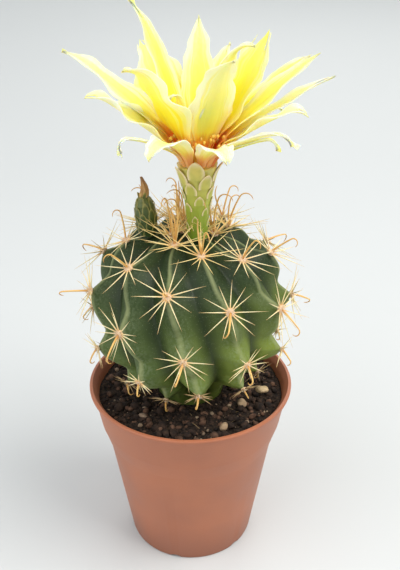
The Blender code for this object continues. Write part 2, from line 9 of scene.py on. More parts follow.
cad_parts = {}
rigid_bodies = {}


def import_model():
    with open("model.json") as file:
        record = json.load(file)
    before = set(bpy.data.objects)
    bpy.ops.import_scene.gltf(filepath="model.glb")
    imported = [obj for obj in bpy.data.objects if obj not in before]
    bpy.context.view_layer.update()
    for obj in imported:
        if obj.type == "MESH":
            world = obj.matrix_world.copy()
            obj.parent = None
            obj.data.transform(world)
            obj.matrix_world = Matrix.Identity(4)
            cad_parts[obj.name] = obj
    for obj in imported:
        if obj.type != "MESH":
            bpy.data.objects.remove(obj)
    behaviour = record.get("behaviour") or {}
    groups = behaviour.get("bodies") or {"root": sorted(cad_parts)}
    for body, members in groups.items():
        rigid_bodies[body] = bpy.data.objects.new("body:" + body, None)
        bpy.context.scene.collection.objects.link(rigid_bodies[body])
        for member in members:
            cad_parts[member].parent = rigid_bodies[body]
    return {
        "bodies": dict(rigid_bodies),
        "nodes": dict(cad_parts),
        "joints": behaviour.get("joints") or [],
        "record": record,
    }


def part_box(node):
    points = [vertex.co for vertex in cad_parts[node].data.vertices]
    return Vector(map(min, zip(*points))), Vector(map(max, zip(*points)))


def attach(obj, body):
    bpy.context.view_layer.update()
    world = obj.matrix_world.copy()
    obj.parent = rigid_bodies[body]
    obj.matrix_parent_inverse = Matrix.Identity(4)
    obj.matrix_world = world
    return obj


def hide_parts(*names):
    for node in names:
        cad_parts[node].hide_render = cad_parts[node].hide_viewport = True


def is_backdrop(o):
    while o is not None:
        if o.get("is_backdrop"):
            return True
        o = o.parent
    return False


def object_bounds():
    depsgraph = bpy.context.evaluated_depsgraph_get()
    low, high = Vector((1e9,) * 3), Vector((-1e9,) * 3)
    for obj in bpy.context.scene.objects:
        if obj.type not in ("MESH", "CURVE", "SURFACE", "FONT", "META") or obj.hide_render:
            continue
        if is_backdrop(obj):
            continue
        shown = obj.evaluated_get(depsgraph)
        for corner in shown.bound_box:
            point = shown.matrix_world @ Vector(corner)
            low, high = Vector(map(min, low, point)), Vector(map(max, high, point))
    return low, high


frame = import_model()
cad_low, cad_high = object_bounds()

scene = bpy.context.scene

# ---- Studio: camera, floor and lights ----
# The pot stands on a pale matt sheet, flat round it and rising gently further out. Soft lights
# stand high on the right, on the left and, weaker, behind the flower, and a pale sky fills in.

camera_data = bpy.data.cameras.new("camera")
camera_data.lens = 50
camera_data.sensor_width = 36
camera_data.clip_start = 0.01
camera_data.clip_end = 50
camera = bpy.data.objects.new("camera", camera_data)
camera.location = (0.0, -0.180, 0.17435)
aim = Vector((0.0026, 0.0, 0.0787)) - camera.location
camera.rotation_euler = aim.to_track_quat("-Z", "Y").to_euler()
scene.collection.objects.link(camera)
scene.camera = camera
scene.view_settings.view_transform = "Standard"


def area_light(name, place, target, size, power, colour):
    """A square soft light that faces a target."""
    data = bpy.data.lights.new(name, "AREA")
    data.size = size
    data.energy = power
    data.color = colour
    light = bpy.data.objects.new(name, data)
    light.location = place
    light.rotation_euler = (Vector(target) - Vector(place)).to_track_quat("-Z", "Y").to_euler()
    scene.collection.objects.link(light)


area_light("window", (0.36, -0.16, 0.58), (0, 0, 0.08), 0.46, 3.8, (1.0, 0.985, 0.95))
area_light("fill", (-0.50, -0.30, 0.50), (-0.10, 0, 0.02), 0.80, 3.0, (0.98, 0.99, 1.0))
area_light("back", (0.10, 0.55, 0.42), (0, 0, 0.11), 0.40, 1.0, (1.0, 0.99, 0.96))

world = bpy.data.worlds.new("studio")
world.use_nodes = True
sky = world.node_tree.nodes["Background"]
sky.inputs["Color"].default_value = (0.88, 0.91, 0.93, 1.0)
sky.inputs["Strength"].default_value = 0.74
scene.world = world


SHEET_REACH = 2.4
SHEET_FLAT = 0.30
SHEET_RISE = 0.4


def set_inputs(made, **settings):
    """Sets a node's inputs by name, with _ for a space."""
    for key, value in settings.items():
        made.inputs[key.replace("_", " ")].default_value = value


def new_material(name, roughness):
    """A new material, its node tree and its shader."""
    made = bpy.data.materials.new(name)
    made.use_nodes = True
    shader = made.node_tree.nodes["Principled BSDF"]
    set_inputs(shader, Roughness=roughness)
    return made, made.node_tree, shader


def place_mesh(name, bm):
    """Turns a finished bmesh into an object that stands in the scene."""
    mesh = bpy.data.meshes.new(name)
    bm.to_mesh(mesh)
    bm.free()
    made = bpy.data.objects.new(name, mesh)
    scene.collection.objects.link(made)
    return made


def make_sheet():
    paper, _, shader = new_material("pale_sheet", 0.9)
    set_inputs(shader, Base_Color=(0.625, 0.64, 0.64, 1.0))
    bm = bmesh.new()
    bmesh.ops.create_grid(bm, x_segments=120, y_segments=120, size=SHEET_REACH)
    for vert in bm.verts:
        vert.co.z = SHEET_RISE * max(0.0, vert.co.xy.length - SHEET_FLAT) ** 2
    floor = place_mesh("floor_sheet", bm)
    floor.data.materials.append(paper)
    floor.data.shade_smooth()
    floor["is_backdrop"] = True


make_sheet()

# ---- Pot ----
# A thin nursery pot, injection moulded in terracotta-coloured plastic: a tapered wall, a stepped
# rim band with a small lip, and a raised floor with drain holes and notches in the foot ring.

POT_HEIGHT = 0.0500
POT_FOOT = 0.0176
POT_RIM = 0.0275
POT_WALL = 0.0010
POT_OUTLINE = (
    (0.0169, 0.0),
    (0.0174, 0.0002),
    (0.0176, 0.0008),
    (0.0229, 0.0336),
    (0.02334, 0.0344),
    (0.02455, 0.0385),
    (0.0248, 0.0391),
    (0.0264, 0.0480),
    (0.0267, 0.0486),
    (0.0274, 0.0490),
    (0.0275, 0.0493),
    (0.0275, 0.0497),
    (0.0273, 0.0500),
)
FLOOR_LIFT = 0.0014
FLOOR_TOP = 0.0026
BOSS_RADIUS = 0.0055
RING_INSIDE = 0.0154
DRAIN_HOLES = 6
DRAIN_RADIUS = 0.0020
NOTCH_RADIUS = 0.0015
NOTCH_TURN = math.radians(45)


def add_piece(name, bm, material, nodes, smooth=35):
    """Shades a finished mesh, sets it on the root body and hides the nodes that it stands in for."""
    piece = place_mesh(name, bm)
    piece.data.materials.append(material)
    piece.data.shade_smooth()
    piece.data.set_sharp_from_angle(angle=math.radians(smooth))
    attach(piece, "root")
    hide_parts(*nodes)
    return piece


def spin_round(bm, outline, steps):
    """Spins a line of (radius, height) points once round Z."""
    verts = [bm.verts.new((radius, 0.0, height)) for radius, height in outline]
    edges = [bm.edges.new(pair) for pair in zip(verts, verts[1:])]
    full = {"cent": (0, 0, 0), "axis": (0, 0, 1), "angle": 2 * math.pi, "use_merge": True}
    bmesh.ops.spin(bm, geom=verts + edges, steps=steps, **full)


def spun(bm, outline, steps):
    """Spins (radius, height) points into a closed skin, with the ends on the axis."""
    spin_round(bm, outline, steps)
    bmesh.ops.remove_doubles(bm, verts=bm.verts, dist=1e-6)
    bmesh.ops.recalc_face_normals(bm, faces=bm.faces)
    if bm.calc_volume(signed=True) < 0:
        bmesh.ops.reverse_faces(bm, faces=bm.faces)


def heading(azimuth):
    """The level unit vector at an azimuth in radians, counted from the front towards +X."""
    return Vector((math.sin(azimuth), -math.cos(azimuth), 0.0))


def node(tree, kind, **settings):
    """A shader node with its inputs set by name."""
    made = tree.nodes.new(kind)
    set_inputs(made, **settings)
    return made


def link(tree, source, target):
    tree.links.new(source, target)


def blend_colour(tree, factor, first, second):
    """Mixes two colours, each a socket or an (r, g, b), by a socket."""
    mixer = tree.nodes.new("ShaderNodeMix")
    mixer.data_type = "RGBA"
    link(tree, factor, mixer.inputs[0])
    # The node's own colour sockets are inputs 6 and 7 and output 2.
    for socket, value in ((mixer.inputs[6], first), (mixer.inputs[7], second)):
        if isinstance(value, tuple):
            socket.default_value = (*value, 1.0)
        else:
            link(tree, value, socket)
    return mixer.outputs[2]


def spread(tree, source, low, high, to_low=0.0, to_high=1.0):
    """Maps a value's range onto another and clamps it."""
    mapper = node(tree, "ShaderNodeMapRange", From_Min=low, From_Max=high)
    set_inputs(mapper, To_Min=to_low, To_Max=to_high)
    link(tree, source, mapper.inputs["Value"])
    return mapper.outputs["Result"]


def make_mottle_group():
    """A group that puts out fine and broad noise on Object coordinates, for uneven colour."""
    group = bpy.data.node_groups.new("mottle", "ShaderNodeTree")
    for side, names in (("INPUT", ("Fine Scale", "Broad Scale")), ("OUTPUT", ("Fine", "Broad"))):
        for name in names:
            group.interface.new_socket(name, in_out=side, socket_type="NodeSocketFloat")
    entry = group.nodes.new("NodeGroupInput")
    leave = group.nodes.new("NodeGroupOutput")
    place = group.nodes.new("ShaderNodeTexCoord")
    for scale, result, detail in (("Fine Scale", "Fine", 3.0), ("Broad Scale", "Broad", 2.0)):
        field = node(group, "ShaderNodeTexNoise", Detail=detail, Roughness=0.6)
        link(group, place.outputs["Object"], field.inputs["Vector"])
        link(group, entry.outputs[scale], field.inputs["Scale"])
        link(group, field.outputs["Fac"], leave.inputs[result])
    return group


MOTTLE = make_mottle_group()


def mottle(tree, fine, broad):
    """Places the mottle group with its two scales; puts out (fine, broad)."""
    made = tree.nodes.new("ShaderNodeGroup")
    made.node_tree = MOTTLE
    set_inputs(made, Fine_Scale=fine, Broad_Scale=broad)
    return made.outputs["Fine"], made.outputs["Broad"]


def roughen(tree, shader, height, distance, strength=1.0):
    """Feeds a height into a bump on the shader."""
    bump = node(tree, "ShaderNodeBump", Strength=strength, Distance=distance)
    link(tree, height, bump.inputs["Height"])
    link(tree, bump.outputs["Normal"], shader.inputs["Normal"])


def coordinate(tree, axis="Z"):
    """The Object coordinate along one axis."""
    place = tree.nodes.new("ShaderNodeTexCoord")
    parts = tree.nodes.new("ShaderNodeSeparateXYZ")
    link(tree, place.outputs["Object"], parts.inputs["Vector"])
    return parts.outputs[axis]


def make_pot_material():
    """Satin terracotta plastic: faint clouding, a fine grain, and painted shade towards the foot."""
    made, tree, shader = new_material("terracotta_plastic", 0.46)
    fine, broad = mottle(tree, 2600.0, 60.0)
    clouded = blend_colour(
        tree, spread(tree, broad, 0.35, 0.65), (0.40, 0.132, 0.062), (0.47, 0.162, 0.078)
    )
    # Painted shade: the lowest 14 mm grow darker towards the foot, where the floor keeps light off.
    low = spread(tree, coordinate(tree), 0.0, 0.014, 0.75, 0.0)
    painted_foot_shade = blend_colour(tree, low, clouded, (0.27, 0.090, 0.046))
    specks = spread(tree, fine, 0.62, 0.80, 0.0, 0.25)
    grainy = blend_colour(tree, specks, painted_foot_shade, (0.55, 0.27, 0.18))
    link(tree, grainy, shader.inputs["Base Color"])
    link(tree, spread(tree, broad, 0.3, 0.7, 0.40, 0.54), shader.inputs["Roughness"])
    roughen(tree, shader, fine, 0.00002, 0.6)
    set_inputs(shader, Subsurface_Weight=0.06, Subsurface_Radius=(0.004, 0.0015, 0.0008))
    return made


def make_pot():
    """Spins the wall inside and out, then cuts the drain holes and the notches."""
    inside = [(radius - POT_WALL, height) for radius, height in reversed(POT_OUTLINE[3:9])]
    outline = [
        (0.0, 0.0),
        (BOSS_RADIUS - 0.0003, 0.0),
        (BOSS_RADIUS, 0.0003),
        (BOSS_RADIUS + 0.0005, FLOOR_LIFT - 0.0002),
        (BOSS_RADIUS + 0.0008, FLOOR_LIFT),
        (RING_INSIDE - 0.0006, FLOOR_LIFT),
        (RING_INSIDE - 0.0002, FLOOR_LIFT - 0.0003),
        (RING_INSIDE, 0.0002),
        (RING_INSIDE + 0.0003, 0.0),
        *POT_OUTLINE,
        (POT_RIM - POT_WALL + 0.0002, POT_HEIGHT),
        (POT_RIM - POT_WALL - 0.0001, POT_HEIGHT - 0.0004),
        *inside,
        (0.0170, FLOOR_TOP + 0.0005),
        (0.0165, FLOOR_TOP),
        (0.0, FLOOR_TOP),
    ]
    bm = bmesh.new()
    spun(bm, outline, 144)
    pot = add_piece("nursery_pot", bm, make_pot_material(), ["pot"], 30)
    cutters = bmesh.new()
    hole_ring = (BOSS_RADIUS + RING_INSIDE) / 2
    for index in range(DRAIN_HOLES):
        angle = 2 * math.pi * index / DRAIN_HOLES
        hole = Matrix.Translation(heading(angle) * hole_ring)
        notch = (
            Matrix.Translation(heading(angle + NOTCH_TURN) * POT_FOOT)
            @ Matrix.Rotation(angle + NOTCH_TURN, 4, "Z")
            @ Matrix.Rotation(math.pi / 2, 4, "X")
            @ Matrix.Diagonal((1.0, 0.66, 1.0, 1.0))
        )
        for place, radius, depth, sides in (
            (hole, DRAIN_RADIUS, 0.010, 28),
            (notch, NOTCH_RADIUS, 0.0066, 24),
        ):
            size = {"radius1": radius, "radius2": radius, "depth": depth, "segments": sides}
            bmesh.ops.create_cone(cutters, cap_ends=True, matrix=place, **size)
    cutter = place_mesh("drain_cutter", cutters)
    cut = pot.modifiers.new("drainage", "BOOLEAN")
    cut.operation = "DIFFERENCE"
    cut.object = cutter
    evaluated = pot.evaluated_get(bpy.context.evaluated_depsgraph_get())
    drilled = bpy.data.meshes.new_from_object(evaluated)
    pot.modifiers.clear()
    pot.data = drilled
    bpy.data.objects.remove(cutter, do_unlink=True)


make_pot()

# ---- Potting mix ----
# Dark peat mixed with fine brown crumbs and pale mineral grit. It is loose, fills the pot to a few
# millimetres under the rim, and a few dry root fibres lie on it round the stem's neck.

SOIL_TOP = 0.0466
SOIL_EDGE = 0.0251
NECK_RADIUS = 0.0088
HEAP_HEIGHT = 0.0007
HEAP_REACH = 0.006


def soil_height(x, y):
    """The overall unevenness of the mix."""
    wave = math.sin(x * 420 + 0.6) * math.cos(y * 380 - 0.9) + 0.6 * math.sin(x * 910 - y * 760)
    return SOIL_TOP + 0.0005 * wave / 1.6


def heap_height(reach):
    """How far the mix is heaped up round the stem's neck."""
    return HEAP_HEIGHT * max(0.0, 1 - (reach - NECK_RADIUS) / HEAP_REACH) ** 2


def make_soil_material():
    """Near-black peat with brown crumbs, matte all over."""
    made, tree, shader = new_material("peat", 0.95)
    fine, broad = mottle(tree, 1500.0, 320.0)
    dark = blend_colour(
        tree, spread(tree, fine, 0.40, 0.70), (0.0075, 0.0055, 0.0050), (0.060, 0.036, 0.022)
    )
    mixed = blend_colour(
        tree, spread(tree, broad, 0.52, 0.72, 0.0, 0.5), dark, (0.045, 0.026, 0.016)
    )
    link(tree, mixed, shader.inputs["Base Color"])
    roughen(tree, shader, fine, 0.0006, 1.0)
    set_inputs(shader, Specular_IOR_Level=0.25)
    return made


def make_soil():
    """The body of the mix: a spun skin whose top is broken up into lumps."""
    floor_level = FLOOR_TOP + 0.0003
    rings = 60
    span = SOIL_EDGE - NECK_RADIUS
    outline = [(0.0, floor_level), (0.0168, floor_level), (0.0222, 0.0343), (SOIL_EDGE, SOIL_TOP)]
    outline += [(SOIL_EDGE - span * ring / rings, SOIL_TOP) for ring in range(1, rings + 1)]
    outline += [(NECK_RADIUS, SOIL_TOP - 0.0050), (0.0, SOIL_TOP - 0.0050)]
    bm = bmesh.new()
    spun(bm, outline, 260)
    for vert in bm.verts:
        if abs(vert.co.z - SOIL_TOP) > 1e-6:
            continue
        place = vert.co
        reach = place.xy.length
        lumps = noise.fractal(place * 420, 1.0, 2.2, 4) * 0.0007
        grains = noise.noise(place * 1500) * 0.0002
        inside = min(1.0, max(0.0, (SOIL_EDGE - reach) / 0.0012))
        rough = (lumps + grains) * inside - 0.0003 * (1 - inside)
        vert.co.z = soil_height(place.x, place.y) + rough + heap_height(reach)
    add_piece("potting_mix_bed", bm, make_soil_material(), ["potting_mix"], 180)


make_soil()


def make_grain_material(name, dark, light, scale):
    """Dull mineral or peat grains: two tones in patches and a rough skin."""
    made, tree, shader = new_material(name, 0.9)
    fine, broad = mottle(tree, scale * 3, scale)
    patches = blend_colour(tree, spread(tree, broad, 0.35, 0.65), dark, light)
    speckled = blend_colour(tree, spread(tree, fine, 0.60, 0.75, 0.0, 0.5), patches, dark)
    link(tree, speckled, shader.inputs["Base Color"])
    roughen(tree, shader, fine, 0.0002, 0.8)
    set_inputs(shader, Specular_IOR_Level=0.3)
    return made


def add_grain(bm, chance, centre, size, detail):
    """One lump of grit or peat: a small sphere, squashed, turned and knocked out of true."""
    shape = (
        Matrix.Translation(centre)
        @ Matrix.Rotation(chance.uniform(0, 6.28), 4, "Z")
        @ Matrix.Rotation(chance.uniform(-0.6, 0.6), 4, "X")
        @ Matrix.Diagonal((1.0, chance.uniform(0.65, 0.95), chance.uniform(0.55, 0.8), 1.0))
    )
    made = bmesh.ops.create_icosphere(bm, subdivisions=detail, radius=size, matrix=shape)
    shift = Vector([chance.uniform(-9, 9) for _ in range(3)])
    for vert in made["verts"]:
        away = vert.co - centre
        vert.co = centre + away * (1 + 0.34 * noise.noise(away / size * 0.9 + shift))


def scatter_grains(name, seed, count, sizes, material):
    """Grains lying on the mix, thicker towards the wall; large ones are few."""
    chance = random.Random(seed)
    smallest, largest = sizes
    bm = bmesh.new()
    for _ in range(count):
        size = smallest + (largest - smallest) * chance.random() ** 3
        room = SOIL_EDGE - size - NECK_RADIUS - 0.0010
        reach = NECK_RADIUS + 0.0006 + room * chance.random() ** 0.75
        place = heading(chance.uniform(0, 2 * math.pi)) * reach
        place.z = soil_height(place.x, place.y) + size * 0.25 + heap_height(reach)
        add_grain(bm, chance, place, size, 1)
    add_piece(name, bm, material, [], 60)


for name, seed, count, sizes, slot, dark, light in (
    ("peat_crumbs", 3, 480, (0.0005, 0.0018), "peat", (0.010, 0.007, 0.006), (0.050, 0.028, 0.018)),
    ("bark_crumbs", 8, 300, (0.0003, 0.0015), "peat", (0.060, 0.030, 0.018), (0.150, 0.080, 0.050)),
    ("sand_grains", 5, 130, (0.0002, 0.0009), "pale_grit", (0.16, 0.11, 0.075), (0.36, 0.26, 0.17)),
):
    scatter_grains(name, seed, count, sizes, make_grain_material(name, dark, light, 500.0))

# ---- Grit stones ----
# Four larger pale stones of the grit in the mix, worn round by water. They lie loose on the mix
# between the stem's neck and the pot's wall.

# Azimuth in degrees, share of the way from neck to wall, radius, dark and light tone.
STONES = (
    (81, 0.66, 0.0017, (0.42, 0.29, 0.15), (0.68, 0.52, 0.31)),
    (57, 0.45, 0.0013, (0.30, 0.20, 0.12), (0.50, 0.36, 0.22)),
    (24, 0.72, 0.0014, (0.26, 0.17, 0.10), (0.44, 0.31, 0.19)),
    (-42, 0.60, 0.0012, (0.18, 0.12, 0.08), (0.32, 0.23, 0.16)),
)


def make_stones():
    wall = SOIL_EDGE + 0.0003
    chance = random.Random(12)
    for number, (angle, share, size, dark, light) in enumerate(STONES, start=1):
        place = heading(math.radians(angle)) * (NECK_RADIUS + (wall - NECK_RADIUS) * share)
        place.z = soil_height(place.x, place.y) + size * 0.5 + 0.0004
        bm = bmesh.new()
        add_grain(bm, chance, place, size * 1.05, 4)
        look = make_grain_material(f"grit_stone_{number}", dark, light, 420.0)
        add_piece(f"pebble_{number}", bm, look, [f"grit_stone_{number}"], 180)


make_stones()

# ---- Root fibres ----
# Dry, straw-coloured root fibres in the mix. They stick out of it round the neck and lie in
# loose curves on top.


def start_mesh(*fields):
    """An empty bmesh and its vertex layers, one for each field."""
    bm = bmesh.new()
    return bm, *[bm.verts.layers.float.new(field) for field in fields]


def grow_strand(bm, along, frame, radius, strides, sides=5, taper=0.7):
    """Extrudes a tapering strand from a small ring; each stride is (bend about X, length)."""
    made = bmesh.ops.create_circle(bm, cap_ends=True, segments=sides, radius=radius, matrix=frame)
    face = made["verts"][0].link_faces[0]
    total = sum(length for _, length in strides)
    place, travelled, last_width = frame.copy(), 0.0, radius
    for bend, length in strides:
        before = place.inverted()
        place = place @ Matrix.Rotation(bend, 4, "X") @ Matrix.Translation((0, 0, length))
        travelled += length
        share = travelled / total
        width = max(radius * (1 - share) ** taper, radius * 0.08)
        face = bmesh.ops.extrude_discrete_faces(bm, faces=[face])["faces"][0]
        for vert in face.verts:
            local = before @ vert.co
            vert.co = place @ (Vector((local.x, local.y, 0.0)) * (width / last_width))
            vert[along] = share
        last_width = width
    return place


def frame_along(place, direction, down):
    """A frame at a place whose Z runs along a direction and whose -Y leans towards down."""
    forward = direction.normalized()
    side = forward.cross(down).normalized()
    turned = Matrix((side, forward.cross(side), forward)).transposed()
    return Matrix.Translation(place) @ turned.to_4x4()


def make_fibres():
    chance = random.Random(21)
    bm, along = start_mesh("along")
    for _ in range(22):
        place = heading(chance.uniform(-1.6, 1.6)) * chance.uniform(0.0095, 0.022)
        place.z = soil_height(place.x, place.y) - 0.0002
        towards = heading(chance.uniform(0, 6.28)) + Vector((0, 0, chance.uniform(0.1, 0.5)))
        frame = frame_along(place, towards, Vector((0, 0, -1)))
        strides = [(chance.uniform(-0.10, 0.22), 0.0006) for _ in range(chance.randint(5, 9))]
        grow_strand(bm, along, frame, chance.uniform(0.00006, 0.00012), strides, 4, 0.4)
    look = make_grain_material("root_fibres", (0.17, 0.11, 0.055), (0.38, 0.26, 0.13), 900.0)
    add_piece("root_fibres", bm, look, [], 60)


make_fibres()

# ---- Stem ----
# The cactus' green body, a flattened globe of eleven ribs that run in a slow spiral. Each rib
# swells to a chin at every areole, and the skin carries a grey bloom and tiny pale pores.

STEM_HEIGHT = 0.0430
STEM_RADIUS = 0.0267
STEM_WIDEST = 0.56
STEM_FULLNESS = 2.3
STEM_UNDERSIDE = SOIL_TOP + 0.0034
STEM_CENTRE = STEM_UNDERSIDE + STEM_HEIGHT * STEM_WIDEST
RIBS = 11
RIB_STEP = 2 * math.pi / RIBS
RIB_DEPTH = 0.0060
RIB_TWIST = 0.67
CROWN_DEPTH = 0.0022
UNDERSIDE_DEPTH = 0.0030
CROWN_SHIFT = 0.0049
FIRST_RIB_ANGLE = -3.7
FIRST_ROW_LIFT = 0.0024
ROW_ABOVE = 0.0148
ROW_BELOW = 0.0123
ROW_SHIFT = 3 / RIBS


def oval(turn, radius, above, below):
    """A point (radius, height from the centre) of the rounded outline at a turn angle."""
    power = 2 / STEM_FULLNESS
    up = abs(math.sin(turn)) ** power
    return radius * max(0.0, math.cos(turn)) ** power, above * up if turn > 0 else -below * up


def tip_outline(turn):
    """The outline that the rib crests reach."""
    return oval(turn, STEM_RADIUS, STEM_HEIGHT * (1 - STEM_WIDEST), STEM_HEIGHT * STEM_WIDEST)


def groove_outline(turn):
    """The outline at the bottom of the grooves."""
    above = STEM_HEIGHT * (1 - STEM_WIDEST) - CROWN_DEPTH
    return oval(turn, STEM_RADIUS - RIB_DEPTH, above, STEM_HEIGHT * STEM_WIDEST - UNDERSIDE_DEPTH)


def measure_crest(count=400):
    """Turn angles from foot to crown, and the path length along the crest from row 0 at each."""
    turns = [math.pi * (index / count - 0.5) for index in range(count + 1)]
    points = [tip_outline(turn) for turn in turns]
    paths = [0.0]
    for before, here in zip(points, points[1:]):
        paths.append(paths[-1] + math.dist(before, here))
    first_row = paths[count // 2] - FIRST_ROW_LIFT
    return turns, [path - first_row for path in paths]


TURNS, PATHS = measure_crest()


def turn_at(path):
    """The turn angle at a path length above (+) or below (-) row 0."""
    index = next((i for i, length in enumerate(PATHS) if length >= path), len(PATHS) - 1)
    index = max(1, index)
    part = (path - PATHS[index - 1]) / (PATHS[index] - PATHS[index - 1])
    return TURNS[index - 1] + (TURNS[index] - TURNS[index - 1]) * min(1.0, part)


def crest(row):
    """How proud a rib is at a row number: 1 at each areole, with the notch just above it."""
    part = row - math.floor(row)
    warped = part / (part + (1 - part) * 0.45)
    rounded = 0.5 + 0.5 * math.cos(2 * math.pi * warped)
    return rounded + (math.hypot(1 - 2 * warped, 0.12) - 0.06 - rounded) * 0.6


def stem_place(across, rib, path, turn):
    """A surface point, and how much crest and swell there is; across is -1 to 1 over a rib."""
    swell = crest(path / (ROW_ABOVE if path > 0 else ROW_BELOW) + ROW_SHIFT * rib)
    ridge = (1 - min(1.0, math.hypot(across, 0.05) - 0.05 * (1 - abs(across)))) ** 1.25
    fade = min(1.0, max(0.0, (math.pi / 2 - turn) / 0.5))
    proud = ridge * (0.42 + 0.58 * swell) * fade + 0.35 * (1 - fade)
    tip, groove = tip_outline(turn), groove_outline(turn)
    radius = groove[0] + (tip[0] - groove[0]) * proud
    height = STEM_CENTRE + groove[1] + (tip[1] - groove[1]) * proud
    angle = math.radians(FIRST_RIB_ANGLE - RIB_TWIST * path * 1000) + RIB_STEP * (rib + across / 2)
    lean = CROWN_SHIFT * max(0.0, (height - STEM_UNDERSIDE) / STEM_HEIGHT) ** 2
    return heading(angle) * radius + Vector((0.0, lean, height)), ridge, swell


def attribute(tree, name):
    """The value that a mesh carries under a name."""
    made = tree.nodes.new("ShaderNodeAttribute")
    made.attribute_name = name
    return made.outputs["Fac"]


def reshape(tree, operation, first, second=0.5):
    """A math node on a socket and a number or second socket."""
    made = tree.nodes.new("ShaderNodeMath")
    made.operation = operation
    link(tree, first, made.inputs[0])
    if isinstance(second, float):
        made.inputs[1].default_value = second
    else:
        link(tree, second, made.inputs[1])
    return made.outputs[0]


def make_skin_material():
    """Green skin: near black in the crown, yellower low down, painted light low on the right, a
    painted highlight on the crests, grey bloom and pores on the ribs.
    """
    made, tree, shader = new_material("cactus_skin", 0.5)
    ridge, swell = attribute(tree, "ridge"), attribute(tree, "swell")
    fine, broad = mottle(tree, 1400.0, 110.0)
    rise = coordinate(tree)
    low = spread(tree, rise, STEM_CENTRE + 0.011, STEM_UNDERSIDE + 0.006)
    right = spread(tree, coordinate(tree, "X"), -0.010, 0.022)
    green = blend_colour(tree, low, (0.015, 0.030, 0.005), (0.120, 0.175, 0.036))
    # Painted light: low down on the right side, which faces the main light, the green is painted
    # lighter and yellower.
    lit_lower_right = reshape(tree, "MULTIPLY", low, right)
    green = blend_colour(tree, lit_lower_right, green, (0.290, 0.360, 0.040))
    cloud = spread(tree, broad, 0.35, 0.65, 0.0, 0.40)
    clouded = blend_colour(tree, cloud, green, (0.034, 0.062, 0.016))
    deep = spread(tree, ridge, 0.0, 0.42, 0.80, 0.0)
    shaded = blend_colour(tree, deep, clouded, (0.008, 0.018, 0.004))
    speckle = spread(tree, fine, 0.42, 0.66, 0.02, 0.42)
    bloom = reshape(tree, "MULTIPLY", spread(tree, ridge, 0.30, 0.95), speckle)
    older = spread(tree, rise, STEM_CENTRE + 0.016, STEM_CENTRE - 0.006, 0.25, 1.0)
    bloomed = blend_colour(tree, reshape(tree, "MULTIPLY", bloom, older), shaded, (0.24, 0.30, 0.17))
    # Painted highlight: a pale line along the sharp rib crests, where the light catches them, broken
    # up in patches.
    crest_glint_patches = spread(tree, broad, 0.3, 0.6, 0.30, 0.65)
    edge = reshape(tree, "MULTIPLY", spread(tree, ridge, 0.86, 0.985), crest_glint_patches)
    crest_highlighted = blend_colour(tree, edge, bloomed, (0.30, 0.33, 0.15))
    pores = node(tree, "ShaderNodeTexVoronoi", Scale=1700.0, Randomness=1.0)
    place = tree.nodes.new("ShaderNodeTexCoord")
    link(tree, place.outputs["Object"], pores.inputs["Vector"])
    dots = spread(tree, pores.outputs["Distance"], 0.12, 0.22, 0.22, 0.0)
    dotted = blend_colour(tree, dots, crest_highlighted, (0.26, 0.31, 0.18))
    link(tree, dotted, shader.inputs["Base Color"])
    link(tree, spread(tree, ridge, 0.2, 0.9, 0.50, 0.66), shader.inputs["Roughness"])
    link(tree, spread(tree, swell, 0.0, 1.0, 0.0, 0.06), shader.inputs["Coat Weight"])
    roughen(tree, shader, fine, 0.00012, 0.7)
    set_inputs(shader, Specular_IOR_Level=0.28)
    set_inputs(shader, Subsurface_Weight=0.06, Subsurface_Radius=(0.0012, 0.0020, 0.0006))
    return made


FOOT_RADIUS = NECK_RADIUS * 1.3
FOOT_PATH = next(path for turn, path in zip(TURNS, PATHS) if tip_outline(turn)[0] > FOOT_RADIUS)


def make_stem():
    """A spun tube of columns and rows moved onto the ribbed surface, with its neck in the mix."""
    per_rib, rows = 22, 200
    columns = RIBS * per_rib
    step = (PATHS[-1] - FOOT_PATH) / rows
    turns = [turn_at(FOOT_PATH + step * row) for row in range(rows)]
    bm, ridge_layer, swell_layer = start_mesh("ridge", "swell")
    spin_round(bm, [(1.0, row) for row in range(rows)], columns)
    for vert in bm.verts:
        column = round(math.atan2(vert.co.y, vert.co.x) / (2 * math.pi) * columns) % columns
        rib, place = divmod(column, per_rib)
        row = round(vert.co.z)
        if place > per_rib / 2:
            rib, place = rib + 1, place - per_rib
        made, ridge, swell = stem_place(2 * place / per_rib, rib, FOOT_PATH + step * row, turns[row])
        swirl = noise.noise(made * 260) * 0.00022
        outward = Vector((made.x, made.y, made.z - STEM_CENTRE)).normalized()
        vert.co = made + outward * swirl
        vert[ridge_layer] = ridge
        vert[swell_layer] = swell
    ends = [edge for edge in bm.edges if edge.is_boundary]
    top = [edge for edge in ends if edge.verts[0].co.z > STEM_CENTRE]
    bottom = [edge for edge in ends if edge.verts[0].co.z < STEM_CENTRE]
    lid = bmesh.ops.contextual_create(bm, geom=top)["faces"]
    bmesh.ops.poke(bm, faces=lid)
    for height in (SOIL_TOP + 0.0010, SOIL_TOP - 0.0048):
        grown = bmesh.ops.extrude_edge_only(bm, edges=bottom)["geom"]
        bottom = [item for item in grown if isinstance(item, bmesh.types.BMEdge)]
        for vert in {vert for edge in bottom for vert in edge.verts}:
            level = Vector((vert.co.x, vert.co.y, 0.0)).normalized() * NECK_RADIUS
            vert.co = level + Vector((0.0, 0.0, height))
            vert[ridge_layer] = 0.2
    bmesh.ops.contextual_create(bm, geom=bottom)
    bmesh.ops.recalc_face_normals(bm, faces=bm.faces)
    add_piece("ribbed_body", bm, make_skin_material(), ["cactus_stem"], 180)


make_stem()

# ---- Spine clusters ----
# Every areole is a round woolly pad on a chin of a rib. It holds a star of eight to nineteen thin
# straight radial spines and one to three longer, orange-brown central spines, mostly hooked. The
# numbered ones stand for the part's own clusters, and the others fill the crown and the foot.

NUMBERED_CLUSTERS = 24
LOWEST_NUMBERED_ROW = -0.40


